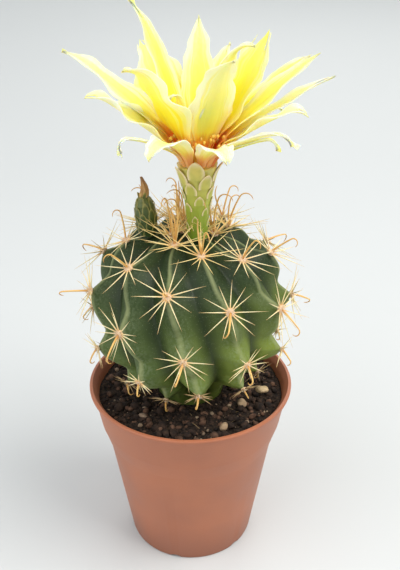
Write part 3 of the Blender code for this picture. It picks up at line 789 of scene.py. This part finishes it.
def make_spine_material(name, middle, ends, tip):
    """Horny spines and dry hairs: one tone at the foot, one along them, one at the point."""
    made, tree, shader = new_material(name, 0.45)
    along = attribute(tree, "along")
    fine, broad = mottle(tree, 3000.0, 300.0)
    foot = blend_colour(tree, spread(tree, along, 0.0, 0.30), ends, middle)
    pointed = blend_colour(tree, spread(tree, along, 0.62, 0.98), foot, tip)
    streaked = blend_colour(tree, spread(tree, broad, 0.4, 0.7, 0.0, 0.35), pointed, ends)
    link(tree, streaked, shader.inputs["Base Color"])
    roughen(tree, shader, fine, 0.00003, 0.5)
    set_inputs(shader, Subsurface_Weight=0.15, Subsurface_Radius=(0.0006, 0.0004, 0.0002))
    return made


RADIAL_LOOK, CROWN_LOOK, OLD_LOOK, CENTRAL_LOOK, WOOL_LOOK = (
    make_spine_material(*tones)
    for tones in (
        ("radial_spines", (0.95, 0.82, 0.48), (0.78, 0.47, 0.18), (0.70, 0.46, 0.18)),
        ("crown_spines", (0.95, 0.75, 0.34), (0.80, 0.47, 0.14), (0.78, 0.52, 0.18)),
        ("old_spines", (0.50, 0.34, 0.16), (0.25, 0.12, 0.05), (0.24, 0.12, 0.05)),
        ("central_spines", (0.84, 0.52, 0.16), (0.62, 0.28, 0.06), (0.60, 0.32, 0.09)),
        ("areole_wool", (0.80, 0.58, 0.38), (0.62, 0.38, 0.21), (0.90, 0.78, 0.58)),
    )
)


def row_path(row):
    return row * (ROW_ABOVE if row > 0 else ROW_BELOW)


def list_areoles():
    """All (row, rib) pairs from the lowest visible row to the crown, the lowest first."""
    found = []
    for rib in range(RIBS):
        for step in range(-3, 6):
            row = step - ROW_SHIFT * rib + math.ceil(ROW_SHIFT * rib)
            if -1.80 < row and row_path(row) < PATHS[-1] - 0.0012:
                found.append((row, rib))
    return sorted(found)


def areole_frame(rib, row):
    """The areole's place, outward normal and the direction down the rib."""
    path = row_path(row)
    turn = turn_at(path)
    place = stem_place(0.0, rib, path, turn)[0]
    left = stem_place(-0.05, rib, path, turn)[0]
    right = stem_place(0.05, rib, path, turn)[0]
    side = (right - left).normalized()
    below, above = tip_outline(turn - 0.024), tip_outline(turn + 0.024)
    shift = CROWN_SHIFT * (place.z - STEM_UNDERSIDE) / STEM_HEIGHT
    level = Vector((place.x, place.y - shift, 0.0))
    outward = level.normalized() * (above[1] - below[1]) + Vector((0, 0, below[0] - above[0]))
    outward = (outward - side * outward.dot(side) * 0.5).normalized()
    down = Vector((0, 0, -1))
    down = (down - outward * outward.dot(down)).normalized()
    return place, outward, down


def add_wool(bm, along, chance, place, outward, down, radius):
    """A felted dome with short hairs that stand out of it all round."""
    basis = frame_along(place + outward * 0.0001, outward, down)
    dome = basis @ Matrix.Diagonal((1.0, 1.0, 0.55, 1.0))
    made = bmesh.ops.create_icosphere(bm, subdivisions=3, radius=radius, matrix=dome)
    for vert in made["verts"]:
        vert.co += (vert.co - place) * 0.22 * noise.noise(vert.co * 2600)
        vert[along] = 0.25 + 0.2 * noise.noise(vert.co * 1900)
    for _ in range(46):
        around, opening = chance.uniform(0, 6.28), chance.uniform(0.1, 1.25)
        level = Vector((math.cos(around), math.sin(around), 0.0))
        local = level * math.sin(opening) + Vector((0.0, 0.0, math.cos(opening)))
        stray = Vector([chance.uniform(-0.5, 0.5) for _ in range(3)])
        root = frame_along(dome @ (local * radius * 0.85), basis.to_3x3() @ local + stray, down)
        length = radius * chance.uniform(0.5, 0.95)
        middle = root @ Matrix.Translation((0, 0, length / 2))
        hair = {"segments": 3, "radius1": 0.00007, "radius2": 0.00001, "depth": length}
        for vert in bmesh.ops.create_cone(bm, matrix=middle, **hair)["verts"]:
            vert[along] = 0.9


def add_radials(bm, along, chance, place, outward, down, count, length, lift):
    """Thin spines in a loose star round the pad, each bent a little."""
    side = outward.cross(down)
    start = chance.uniform(0, 6.28)
    for index in range(count):
        around = start + 2 * math.pi * index / count + chance.uniform(-0.16, 0.16)
        level = side * math.cos(around) + down * math.sin(around)
        rise = math.radians(lift + chance.uniform(-7, 9))
        direction = level * math.cos(rise) + outward * math.sin(rise)
        root = place + level * 0.0006 + outward * 0.0002
        reach = length * chance.uniform(0.80, 1.12)
        frame = frame_along(root, direction, -outward)
        bend = math.radians(chance.uniform(-2.0, 1.2))
        strides = [(bend, reach / 5)] * 5
        grow_strand(bm, along, frame, chance.uniform(0.00015, 0.00020), strides, 5, 0.70)


def add_central(bm, along, chance, place, outward, down, length, tilt, hook):
    """The stout central spine, bowed over its length and hooked in a wide arc at its end."""
    turn = chance.uniform(-0.7, 0.7)
    sideways = outward.cross(down)
    towards = (down * math.cos(turn) + sideways * math.sin(turn)).normalized()
    direction = outward * math.cos(tilt) + towards * math.sin(tilt)
    frame = frame_along(place + outward * 0.0004, direction, towards)
    straight = [(math.radians(chance.uniform(1.0, 4.0)), length * 0.66 / 7)] * 7
    curl = [(math.radians(hook / 9), length * 0.34 / 9)] * 9
    grow_strand(bm, along, frame, 0.00027, straight + curl, 6, 0.35)


def make_cluster(name, rib, row, number):
    """One areole's pieces, joined per material: wool, radial spines and the central spine."""
    chance = random.Random(100 + number)
    place, outward, down = areole_frame(rib, row)
    crownward = min(1.0, max(0.0, (row - 1.4) / 0.8))
    lowness = min(1.0, max(0.0, (0.45 - row) / 1.2))
    wool, layer = start_mesh("along")
    add_wool(wool, layer, chance, place, outward, down, 0.00112 - 0.0004 * lowness)
    radials, layer = start_mesh("along")
    length = (0.0083 + 0.0016 * crownward - 0.0046 * lowness) * chance.uniform(0.92, 1.08)
    count = chance.randint(11, 14) + round(5 * crownward) - round(3 * lowness)
    lift = 12 + 24 * crownward**1.5 - 4 * lowness
    add_radials(radials, layer, chance, place, outward, down, count, length, lift)
    centrals, layer = start_mesh("along")
    reach = 0.0100 + 0.0048 * crownward - 0.0058 * lowness
    tilt = chance.uniform(0.25, 0.75) - 0.75 * min(1.0, max(0.0, (row - 0.7) / 0.8))
    add_central(centrals, layer, chance, place, outward, down, reach, tilt, chance.uniform(120, 190))
    for _ in range(round(2 * crownward)):
        tilt = chance.uniform(-0.9, 0.1)
        hook = chance.choice((20, 60, 150))
        add_central(centrals, layer, chance, place, outward, down, reach * 0.85, tilt, hook)
    for bm in (wool, radials, centrals):
        bmesh.ops.recalc_face_normals(bm, faces=bm.faces)
    nodes = [name] if name else []
    label = name or f"crown_or_foot_{number:02d}"
    look = CROWN_LOOK if crownward > 0.3 else OLD_LOOK if row < -0.9 else RADIAL_LOOK
    add_piece(f"{label}_radials", radials, look, nodes, 60)
    add_piece(f"{label}_wool", wool, WOOL_LOOK, [], 180)
    add_piece(f"{label}_central", centrals, CENTRAL_LOOK, [], 60)


def make_clusters():
    numbered = 0
    for index, (row, rib) in enumerate(list_areoles()):
        name = None
        if row >= LOWEST_NUMBERED_ROW and numbered < NUMBERED_CLUSTERS:
            numbered += 1
            name = f"spine_cluster_{numbered:02d}"
        make_cluster(name, rib, row, index)


make_clusters()

# ---- Flower tube ----
# The green foot of the flower, which widens upwards from the crown and turns yellow. Narrow
# scales with pale pinkish edges lie on it in a spiral and grow into small bracts at its top.

TUBE_LENGTH = 0.0190
TUBE_FOOT_RADIUS = 0.0026
TUBE_TOP_RADIUS = 0.0049
THROAT_RADIUS = 0.0018
THROAT_DEPTH = 0.0045
FLOWER_FOOT = Vector((0.0, CROWN_SHIFT, 0.0)) + heading(math.radians(25)) * 0.0047
FLOWER_FOOT.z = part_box("flower_tube")[0][2]
TUBE_SCALES = 28
SCALE_TURN = math.radians(137.5)


def tube_radius(height):
    share = min(1.15, max(0.0, height / TUBE_LENGTH))
    return TUBE_FOOT_RADIUS + (TUBE_TOP_RADIUS - TUBE_FOOT_RADIUS) * share**2.2


def make_tube_material(name, low_z, high_z, low, middle, high, edge):
    """Fleshy green skin that changes up the tube; scales get pale margins from their attributes."""
    made, tree, shader = new_material(name, 0.42)
    fine, broad = mottle(tree, 1800.0, 260.0)
    rise = coordinate(tree)
    span = high_z - low_z
    lower = blend_colour(tree, spread(tree, rise, low_z, low_z + span * 0.55), low, middle)
    whole = blend_colour(tree, spread(tree, rise, low_z + span * 0.45, high_z), lower, high)
    streaky = blend_colour(tree, spread(tree, broad, 0.40, 0.70, 0.0, 0.30), whole, low)
    sides = spread(tree, reshape(tree, "ABSOLUTE", attribute(tree, "across")), 0.55, 0.95)
    point = spread(tree, attribute(tree, "along"), 0.62, 0.95)
    margin = reshape(tree, "MAXIMUM", sides, point)
    pale = blend_colour(tree, reshape(tree, "MULTIPLY", margin, 0.85), streaky, edge)
    link(tree, pale, shader.inputs["Base Color"])
    roughen(tree, shader, fine, 0.00008, 0.5)
    set_inputs(shader, Subsurface_Weight=0.22, Subsurface_Radius=(0.0016, 0.0020, 0.0006))
    return made


def add_scale(bm, layers, profile, around, low, length, width, lift, point):
    """A pointed scale that lies on a round stalk and lifts off it towards its tip."""
    for vert in bmesh.ops.create_grid(bm, x_segments=8, y_segments=10, size=1.0)["verts"]:
        across, along = vert.co.x, (vert.co.y + 1) / 2
        half = width / 2 * (1 - along**point) ** 0.8 * (0.8 + 0.6 * along * (1 - along)) + 0.00004
        height = low + length * along
        reach = profile(height) + 0.00016 + lift * along**2.4 - 0.06 * half * across**2
        place = heading(around + across * half / profile(height)) * reach
        vert.co = place + Vector((0, 0, height))
        for layer, value in zip(layers, (across, along * 0.98 + 0.01)):
            vert[layer] = value


def thicken(bm, thickness):
    bmesh.ops.recalc_face_normals(bm, faces=bm.faces)
    bmesh.ops.solidify(bm, geom=bm.faces[:], thickness=thickness)
    bmesh.ops.recalc_face_normals(bm, faces=bm.faces)


def make_tube():
    look = make_tube_material(
        "flower_tube_skin",
        FLOWER_FOOT.z,
        FLOWER_FOOT.z + TUBE_LENGTH,
        (0.170, 0.280, 0.012),
        (0.400, 0.450, 0.045),
        (0.720, 0.600, 0.150),
        (0.900, 0.740, 0.480),
    )
    outline = [(0.0, 0.0), (TUBE_FOOT_RADIUS * 0.9, 0.0)]
    for step in range(31):
        height = TUBE_LENGTH * step / 30
        outline.append((tube_radius(height), height + 0.0001))
    outline += [
        (TUBE_TOP_RADIUS - 0.0004, TUBE_LENGTH + 0.0002),
        (THROAT_RADIUS + 0.0004, TUBE_LENGTH),
        (THROAT_RADIUS, TUBE_LENGTH - 0.0005),
        (THROAT_RADIUS * 0.8, TUBE_LENGTH - THROAT_DEPTH),
        (0.0, TUBE_LENGTH - THROAT_DEPTH),
    ]
    bm = bmesh.new()
    spun(bm, outline, 72)
    for vert in bm.verts:
        around = math.atan2(vert.co.y, vert.co.x)
        flute = 0.00009 * math.sin(9 * around + vert.co.z * 300) * min(1.0, vert.co.z / 0.004)
        vert.co += Vector((vert.co.x, vert.co.y, 0)) * flute / max(0.002, vert.co.xy.length)
    bm.transform(Matrix.Translation(FLOWER_FOOT))
    add_piece("tube_of_flower", bm, look, ["flower_tube"], 50)
    scales, *layers = start_mesh("across", "along")
    for index in range(TUBE_SCALES):
        share = index / (TUBE_SCALES - 1)
        around = SCALE_TURN * index + math.radians(20)
        low = 0.0010 + 0.0160 * share**0.85
        length = 0.0017 + 0.0040 * share**2
        width = 0.0017 + 0.0030 * share**1.6
        lift = 0.0002 + 0.0012 * share**3
        point = 1.1 + 1.3 * share
        add_scale(scales, layers, tube_radius, around, low, length, width, lift, point)
    thicken(scales, 0.00022)
    scales.transform(Matrix.Translation(FLOWER_FOOT))
    add_piece("tube_scales", scales, look, [], 60)


make_tube()

# ---- Tepals ----
# The flower's thin yellow petals in three rings on the tube's top. The inner ones are broad and
# bright, the outer ones narrow, paler and curled back, and all are red-orange at the foot.

# Azimuth, lean from the vertical, length, width, curl, sweep, roll, extra bend of the tip (in
# degrees and metres), ruffle of the edges and how deep the tip is torn (shares).
INNER_TEPALS = (
    (-116, 20, 0.0395, 0.0048, 8, 0, -40, 24, 0.5, 0.0),
    (-64, 31, 0.0300, 0.0132, 0, 0, 12, 78, 0.9, 0.1),
    (24, 20, 0.0300, 0.0124, 8, 10, 6, 50, 0.5, 0.0),
    (62, 13, 0.0330, 0.0120, 16, 4, 0, 90, 0.7, 0.0),
    (108, 32, 0.0340, 0.0092, -6, 0, 30, -10, 0.7, 0.7),
    (178, 24, 0.0345, 0.0086, 6, 0, 0, 16, 0.7, 0.0),
)
MIDDLE_TEPALS = (
    (-144, 40, 0.0330, 0.0118, 8, 0, -18, 10, 0.5, 0.3),
    (-103, 51, 0.0390, 0.0070, 4, 0, -18, 25, 0.6, 0.0),
    (84, 46, 0.0365, 0.0066, 0, 0, 20, 10, 0.6, 0.4),
    (115, 52, 0.0360, 0.0060, 6, 0, 8, 20, 0.6, 0.3),
    (153, 30, 0.0295, 0.0080, -4, 0, 0, 60, 0.7, 0.0),
    (-176, 53, 0.0300, 0.0064, 12, 0, 0, 30, 0.5, 0.0),
)
OUTER_TEPALS = (
    (-79, 51, 0.0290, 0.0096, 6, 0, -4, 56, 1.1, 0.5),
    (-54, 60, 0.0230, 0.0026, 36, 0, 0, 150, 0.2, 0.0),
    (-28, 46, 0.0200, 0.0076, 126, -8, 0, 0, 0.6, 0.2),
    (14, 46, 0.0165, 0.0070, 126, 12, 0, 20, 1.0, 0.3),
    (42, 60, 0.0260, 0.0040, 30, 12, 0, 80, 0.4, 0.0),
    (68, 54, 0.0285, 0.0074, 18, 0, 0, 66, 1.0, 0.5),
    (98, 58, 0.0355, 0.0056, 4, -4, 0, 12, 0.6, 0.2),
    (128, 68, 0.0280, 0.0054, 36, 0, 0, 50, 0.6, 0.1),
    (152, 66, 0.0270, 0.0054, 40, 0, 0, 60, 0.6, 0.2),
    (-168, 66, 0.0275, 0.0056, 36, 0, 0, 50, 0.6, 0.1),
    (-134, 66, 0.0290, 0.0056, 36, 0, 0, 60, 0.6, 0.2),
)
SMALL_TEPALS = (
    (-40, 18, 0.0215, 0.0038, 0, 0, 0, 150, 0.4, 0.0),
    (60, 62, 0.0205, 0.0030, 24, 0, 0, 120, 0.3, 0.0),
)
TEPAL_FOOT_WIDTH = 0.0018
TEPAL_ROWS = 44
TEPAL_COLUMNS = 14


def make_petal_material(name, heart, margin, flush):
    """Thin silky petal: red-orange foot, saturated middle, pale margins, long veins."""
    made, tree, shader = new_material(name, 0.48)
    along, across, tone = (attribute(tree, field) for field in ("along", "across", "tone"))
    off_centre = reshape(tree, "ABSOLUTE", across)
    veins = node(tree, "ShaderNodeTexNoise", Scale=1.0, Detail=3.0, Roughness=0.65)
    grid = tree.nodes.new("ShaderNodeCombineXYZ")
    link(tree, reshape(tree, "MULTIPLY", across, 9.0), grid.inputs["X"])
    link(tree, reshape(tree, "MULTIPLY", along, 1.6), grid.inputs["Y"])
    link(tree, reshape(tree, "MULTIPLY", tone, 40.0), grid.inputs["Z"])
    link(tree, grid.outputs["Vector"], veins.inputs["Vector"])
    vein = veins.outputs["Fac"]
    edge = reshape(tree, "ADD", off_centre, spread(tree, vein, 0.3, 0.7, -0.22, 0.22))
    own = spread(tree, tone, 0.0, 1.0, -0.15, 0.25)
    outer_half = reshape(tree, "ADD", spread(tree, along, 0.45, 0.95, 0.0, 0.50), own)
    pale = reshape(tree, "ADD", spread(tree, edge, 0.45, 0.95, 0.0, 0.85), outer_half)
    body = blend_colour(tree, pale, heart, margin)
    midrib = spread(tree, off_centre, 0.03, 0.26, 0.45, 0.0)
    stripe = reshape(tree, "MULTIPLY", midrib, spread(tree, along, 0.85, 0.30))
    striped = blend_colour(tree, stripe, body, (0.66, 0.66, 0.06))
    tipped = blend_colour(tree, spread(tree, along, 0.94, 1.0, 0.0, 0.4), striped, (0.84, 0.64, 0.16))
    reach = reshape(tree, "ADD", along, spread(tree, vein, 0.3, 0.7, -0.05, 0.05))
    warm = blend_colour(tree, spread(tree, reach, 0.46, 0.20, 0.0, 0.80), tipped, (0.96, 0.56, 0.03))
    throat = blend_colour(tree, spread(tree, reach, 0.30, 0.13, 0.0, 0.95), warm, flush)
    link(tree, throat, shader.inputs["Base Color"])
    roughen(tree, shader, vein, 0.00025, 0.6)
    set_inputs(shader, Subsurface_Weight=1.0, Subsurface_Radius=(0.0008, 0.0006, 0.0002))
    set_inputs(shader, Subsurface_Scale=1.0, Specular_IOR_Level=0.2)
    return made


def tepal_spine(shape):
    """The tepal's middle line as (outwards, upwards, sideways, bend) at each row."""
    _, lean, length, _, curl, sweep, _, tip, _, _ = shape
    stride = length / TEPAL_ROWS
    out, up, side, line = 0.0, 0.0, 0.0, []
    for row in range(TEPAL_ROWS + 1):
        share = row / TEPAL_ROWS
        bend = lean * min(1.0, 0.35 + share * 2.4) + curl * share**3
        bend = math.radians(bend + tip * max(0.0, (share - 0.78) / 0.22) ** 1.2)
        line.append((out, up, side, bend))
        out += math.sin(bend) * stride
        up += math.cos(bend) * stride
        side += math.tan(math.radians(sweep)) * math.sin(bend) * stride
    return line


def tepal_place(across, row, line, ring, shape, seed):
    """A point of the tepal's sheet, cupped, ruffled and torn."""
    azimuth, _, _, width, _, _, roll, _, ruffle, torn = shape
    share = row / TEPAL_ROWS
    notch = torn * 0.22 * (0.5 + 0.5 * math.sin(across * 7.0 + seed * 3.1)) + 0.03 * abs(across)
    share *= 1 - notch * share**3
    step = min(TEPAL_ROWS - 1, int(share * TEPAL_ROWS))
    part = share * TEPAL_ROWS - step
    out, up, side, bend = (
        first + (second - first) * part for first, second in zip(line[step], line[step + 1])
    )
    narrow = TEPAL_FOOT_WIDTH / width
    grown = min(1.0, share / 0.45)
    rising = narrow + (1 - narrow) * grown * grown * (3 - 2 * grown)
    beyond = max(0.0, (share - 0.45) / 0.55)
    tapered = (1 - beyond ** (1.9 + 1.4 * torn)) ** (1.0 - 0.35 * torn)
    rag = 0.14 * min(1.0, share * 2) + 0.45 * share**3
    frayed = 1 + rag * noise.noise(Vector((share * 9, seed, across * 2)))
    half = max(width / 2 * rising * tapered * frayed, 0.00016)
    turn = math.radians(roll) * min(1.0, share * 2)
    wave = math.sin(share * 17 + seed * 2.3 + (1.9 if across > 0 else 0.0))
    lift = 0.24 * half * across * across + across * half * math.sin(turn)
    lift += ruffle * 0.0009 * abs(across) ** 2 * wave * min(1.0, share * 1.6) * (half / 0.004)
    lift -= 0.00030 * math.exp(-((across / 0.16) ** 2)) * min(1.0, share * 4)
    out -= lift * math.cos(bend)
    up += lift * math.sin(bend)
    side += across * half * math.cos(turn)
    ahead = heading(math.radians(azimuth))
    return ahead * (ring + out) + Vector((-ahead.y, ahead.x, 0.0)) * side + Vector((0, 0, up))


def make_tepal(name, ring, shape, look, number):
    bm, *layers = start_mesh("across", "along", "tone")
    bmesh.ops.create_grid(bm, x_segments=TEPAL_COLUMNS, y_segments=TEPAL_ROWS, size=1.0)
    line = tepal_spine(shape)
    line.append(line[-1])
    base = FLOWER_FOOT + Vector((0, 0, TUBE_LENGTH + 0.0002))
    tone = (number * 0.618) % 1.0
    for vert in bm.verts:
        across, row = vert.co.x, (vert.co.y + 1) / 2 * TEPAL_ROWS
        vert.co = base + tepal_place(across, row, line, ring, shape, number)
        for layer, value in zip(layers, (across, row / TEPAL_ROWS, tone)):
            vert[layer] = value
    thicken(bm, 0.00022)
    nodes = [name] if name.startswith("tepal") else []
    add_piece(name.replace("tepal", "petal"), bm, look, nodes, 70)


def make_tepals():
    bright, pale = (
        make_petal_material(*tones)
        for tones in (
            ("yellow_petal", (1.0, 0.82, 0.055), (0.99, 0.95, 0.60), (0.98, 0.17, 0.05)),
            ("outer_petal", (0.98, 0.84, 0.24), (0.99, 0.95, 0.68), (0.94, 0.40, 0.14)),
        )
    )
    number = 0
    for prefix, shapes, ring, look, slot in (
        ("tepal_inner", INNER_TEPALS, 0.0025, bright, "yellow_petal"),
        ("tepal_middle", MIDDLE_TEPALS, 0.00335, bright, "yellow_petal"),
        ("tepal_outer", OUTER_TEPALS, 0.0042, pale, "outer_petal"),
    ):
        for index, shape in enumerate(shapes, start=1):
            number += 1
            make_tepal(f"{prefix}_{index:02d}", ring, shape, look, number)
    for index, (shape, ring) in enumerate(zip(SMALL_TEPALS, (0.0018, 0.0044)), start=1):
        make_tepal(f"small_petal_{index:02d}", ring, shape, bright, number + index)


make_tepals()

# ---- Stamens and style ----
# A brush of fine filaments stands in the throat, each with a pollen sac on its end. The thicker
# style stands in their middle and opens into seven stigma lobes.

STAMENS = 84
STAMEN_TURN = 2.39996
LOBES = 7


def add_strands(name, bm, slot, tones, node_name):
    """Adds a piece that was grown from strands, in a look named after its slot."""
    bmesh.ops.recalc_face_normals(bm, faces=bm.faces)
    add_piece(name, bm, make_spine_material(slot, *tones), [node_name], 60)


def make_stamens():
    chance = random.Random(77)
    bm, along = start_mesh("along")
    floor = FLOWER_FOOT + Vector((0, 0, TUBE_LENGTH - THROAT_DEPTH))
    for index in range(STAMENS):
        out = heading(index * STAMEN_TURN)
        root = floor + out * (0.0008 + 0.0007 * chance.random())
        lean = 0.02 + 0.22 * chance.random()
        frame = frame_along(root, out * lean + Vector((0, 0, 1)), out)
        length = 0.0098 + 0.0032 * chance.random()
        strides = [(math.radians(lean * 20), length / 6)] * 6
        end = grow_strand(bm, along, frame, 0.00011, strides, 4, 0.25)
        sac = end @ Matrix.Translation((0, 0, 0.0003)) @ Matrix.Diagonal((0.7, 1.0, 1.5, 1.0))
        grown = bmesh.ops.create_icosphere(bm, subdivisions=1, radius=0.00042, matrix=sac)
        for vert in grown["verts"]:
            vert[along] = 1.0
    tones = ((0.86, 0.56, 0.07), (0.88, 0.34, 0.06), (0.84, 0.62, 0.12))
    add_strands("stamen_brush", bm, "pollen_yellow", tones, "stamens")
    bm, along = start_mesh("along")
    column = frame_along(floor, Vector((0.02, -0.02, 1)), Vector((0, -1, 0)))
    end = grow_strand(bm, along, column, 0.00042, [(0.0, 0.00125)] * 11, 12, 0.10)
    fork = end.translation - Vector((0, 0, 0.0003))
    for lobe in range(LOBES):
        out = heading(2 * math.pi * lobe / LOBES)
        frame = frame_along(fork, out * 0.5 + Vector((0, 0, 1)), out)
        grow_strand(bm, along, frame, 0.00030, [(math.radians(9), 0.0004)] * 6, 8, 0.35)
    tones = ((0.74, 0.70, 0.28), (0.70, 0.60, 0.20), (0.80, 0.78, 0.42))
    add_strands("style_and_lobes", bm, "stigma", tones, "style")


make_stamens()

# ---- Bud ----
# A young closed bud beside the flower: a blunt green barrel under overlapping pale-edged scales,
# with the dried brown petals of its tip twisted to a point.

BUD_LENGTH = 0.0100
BUD_RADIUS = 0.0026
BUD_PROFILE = ((0.0, 0.80), (0.25, 0.97), (0.55, 1.0), (0.8, 0.88), (0.95, 0.62), (1.0, 0.36))
BUD_SCALES = 30
DRY_TIP_LENGTH = 0.0052
DRY_TIP_RADIUS = 0.00088
DRY_TIP_ROWS = 26


def bud_radius(height):
    share = min(1.0, max(0.0, height / BUD_LENGTH))
    for (low, narrow), (high, wide) in zip(BUD_PROFILE, BUD_PROFILE[1:]):
        if share <= high:
            part = (share - low) / (high - low)
            part = part * part * (3 - 2 * part)
            return BUD_RADIUS * (narrow + (wide - narrow) * part)
    return BUD_RADIUS * BUD_PROFILE[-1][1]


def make_bud():
    path = 1.84 * ROW_ABOVE
    foot = stem_place(0.0, -2, path, turn_at(path))[0] + Vector((0, 0, 0.0010))
    tilt = Matrix.Translation(foot) @ Matrix.Rotation(math.radians(-5), 4, "Y")
    look = make_tube_material(
        "bud_scales",
        foot.z,
        foot.z + BUD_LENGTH,
        (0.030, 0.060, 0.010),
        (0.045, 0.080, 0.012),
        (0.110, 0.130, 0.025),
        (0.340, 0.300, 0.090),
    )
    outline = [(0.0, 0.0)]
    outline += [(bud_radius(BUD_LENGTH * step / 24), BUD_LENGTH * step / 24) for step in range(25)]
    bm = bmesh.new()
    spun(bm, outline + [(0.0, BUD_LENGTH + 0.0001)], 48)
    bm.transform(tilt)
    add_piece("bud_barrel", bm, look, ["flower_bud"], 60)
    scales, *layers = start_mesh("across", "along")
    for index in range(BUD_SCALES):
        share = index / (BUD_SCALES - 1)
        around, low, width = SCALE_TURN * index, 0.0002 + 0.0088 * share, 0.0024 - 0.0004 * share
        add_scale(scales, layers, bud_radius, around, low, 0.0026, width, 0.00030, 1.5)
    thicken(scales, 0.00018)
    scales.transform(tilt)
    add_piece("bud_scale_cover", scales, look, [], 60)
    dry, along = start_mesh("along")
    profile = [(0.0, 0.0)]
    for row in range(DRY_TIP_ROWS + 1):
        share = row / DRY_TIP_ROWS
        swell = (1.25 - share) * (1 + 0.5 * share * (1 - share))
        profile.append((DRY_TIP_RADIUS * swell + 0.00004, DRY_TIP_LENGTH * share))
    spun(dry, profile + [(0.0, DRY_TIP_LENGTH + 0.00005)], 36)
    for vert in dry.verts:
        around = math.atan2(vert.co.y, vert.co.x)
        fold = 1 + 0.22 * math.sin(5 * around + vert.co.z * 900) + 0.1 * noise.noise(vert.co * 1500)
        vert.co.x, vert.co.y = vert.co.x * fold, vert.co.y * fold * 0.8
        share = vert.co.z / DRY_TIP_LENGTH
        vert.co.x += 0.0005 * math.sin(share * 3.0)
        vert[along] = share
    dry.transform(tilt @ Matrix.Translation((0, 0, BUD_LENGTH + 0.0002)))
    tones = ((0.42, 0.22, 0.07), (0.62, 0.40, 0.14), (0.16, 0.065, 0.03))
    look = make_spine_material("dry_petal", *tones)
    add_piece("bud_withered_tip", dry, look, ["bud_dry_tip"], 60)


make_bud()

low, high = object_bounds()
sizes = {"cad": [list(cad_low), list(cad_high)], "scene": [list(low), list(high)]}
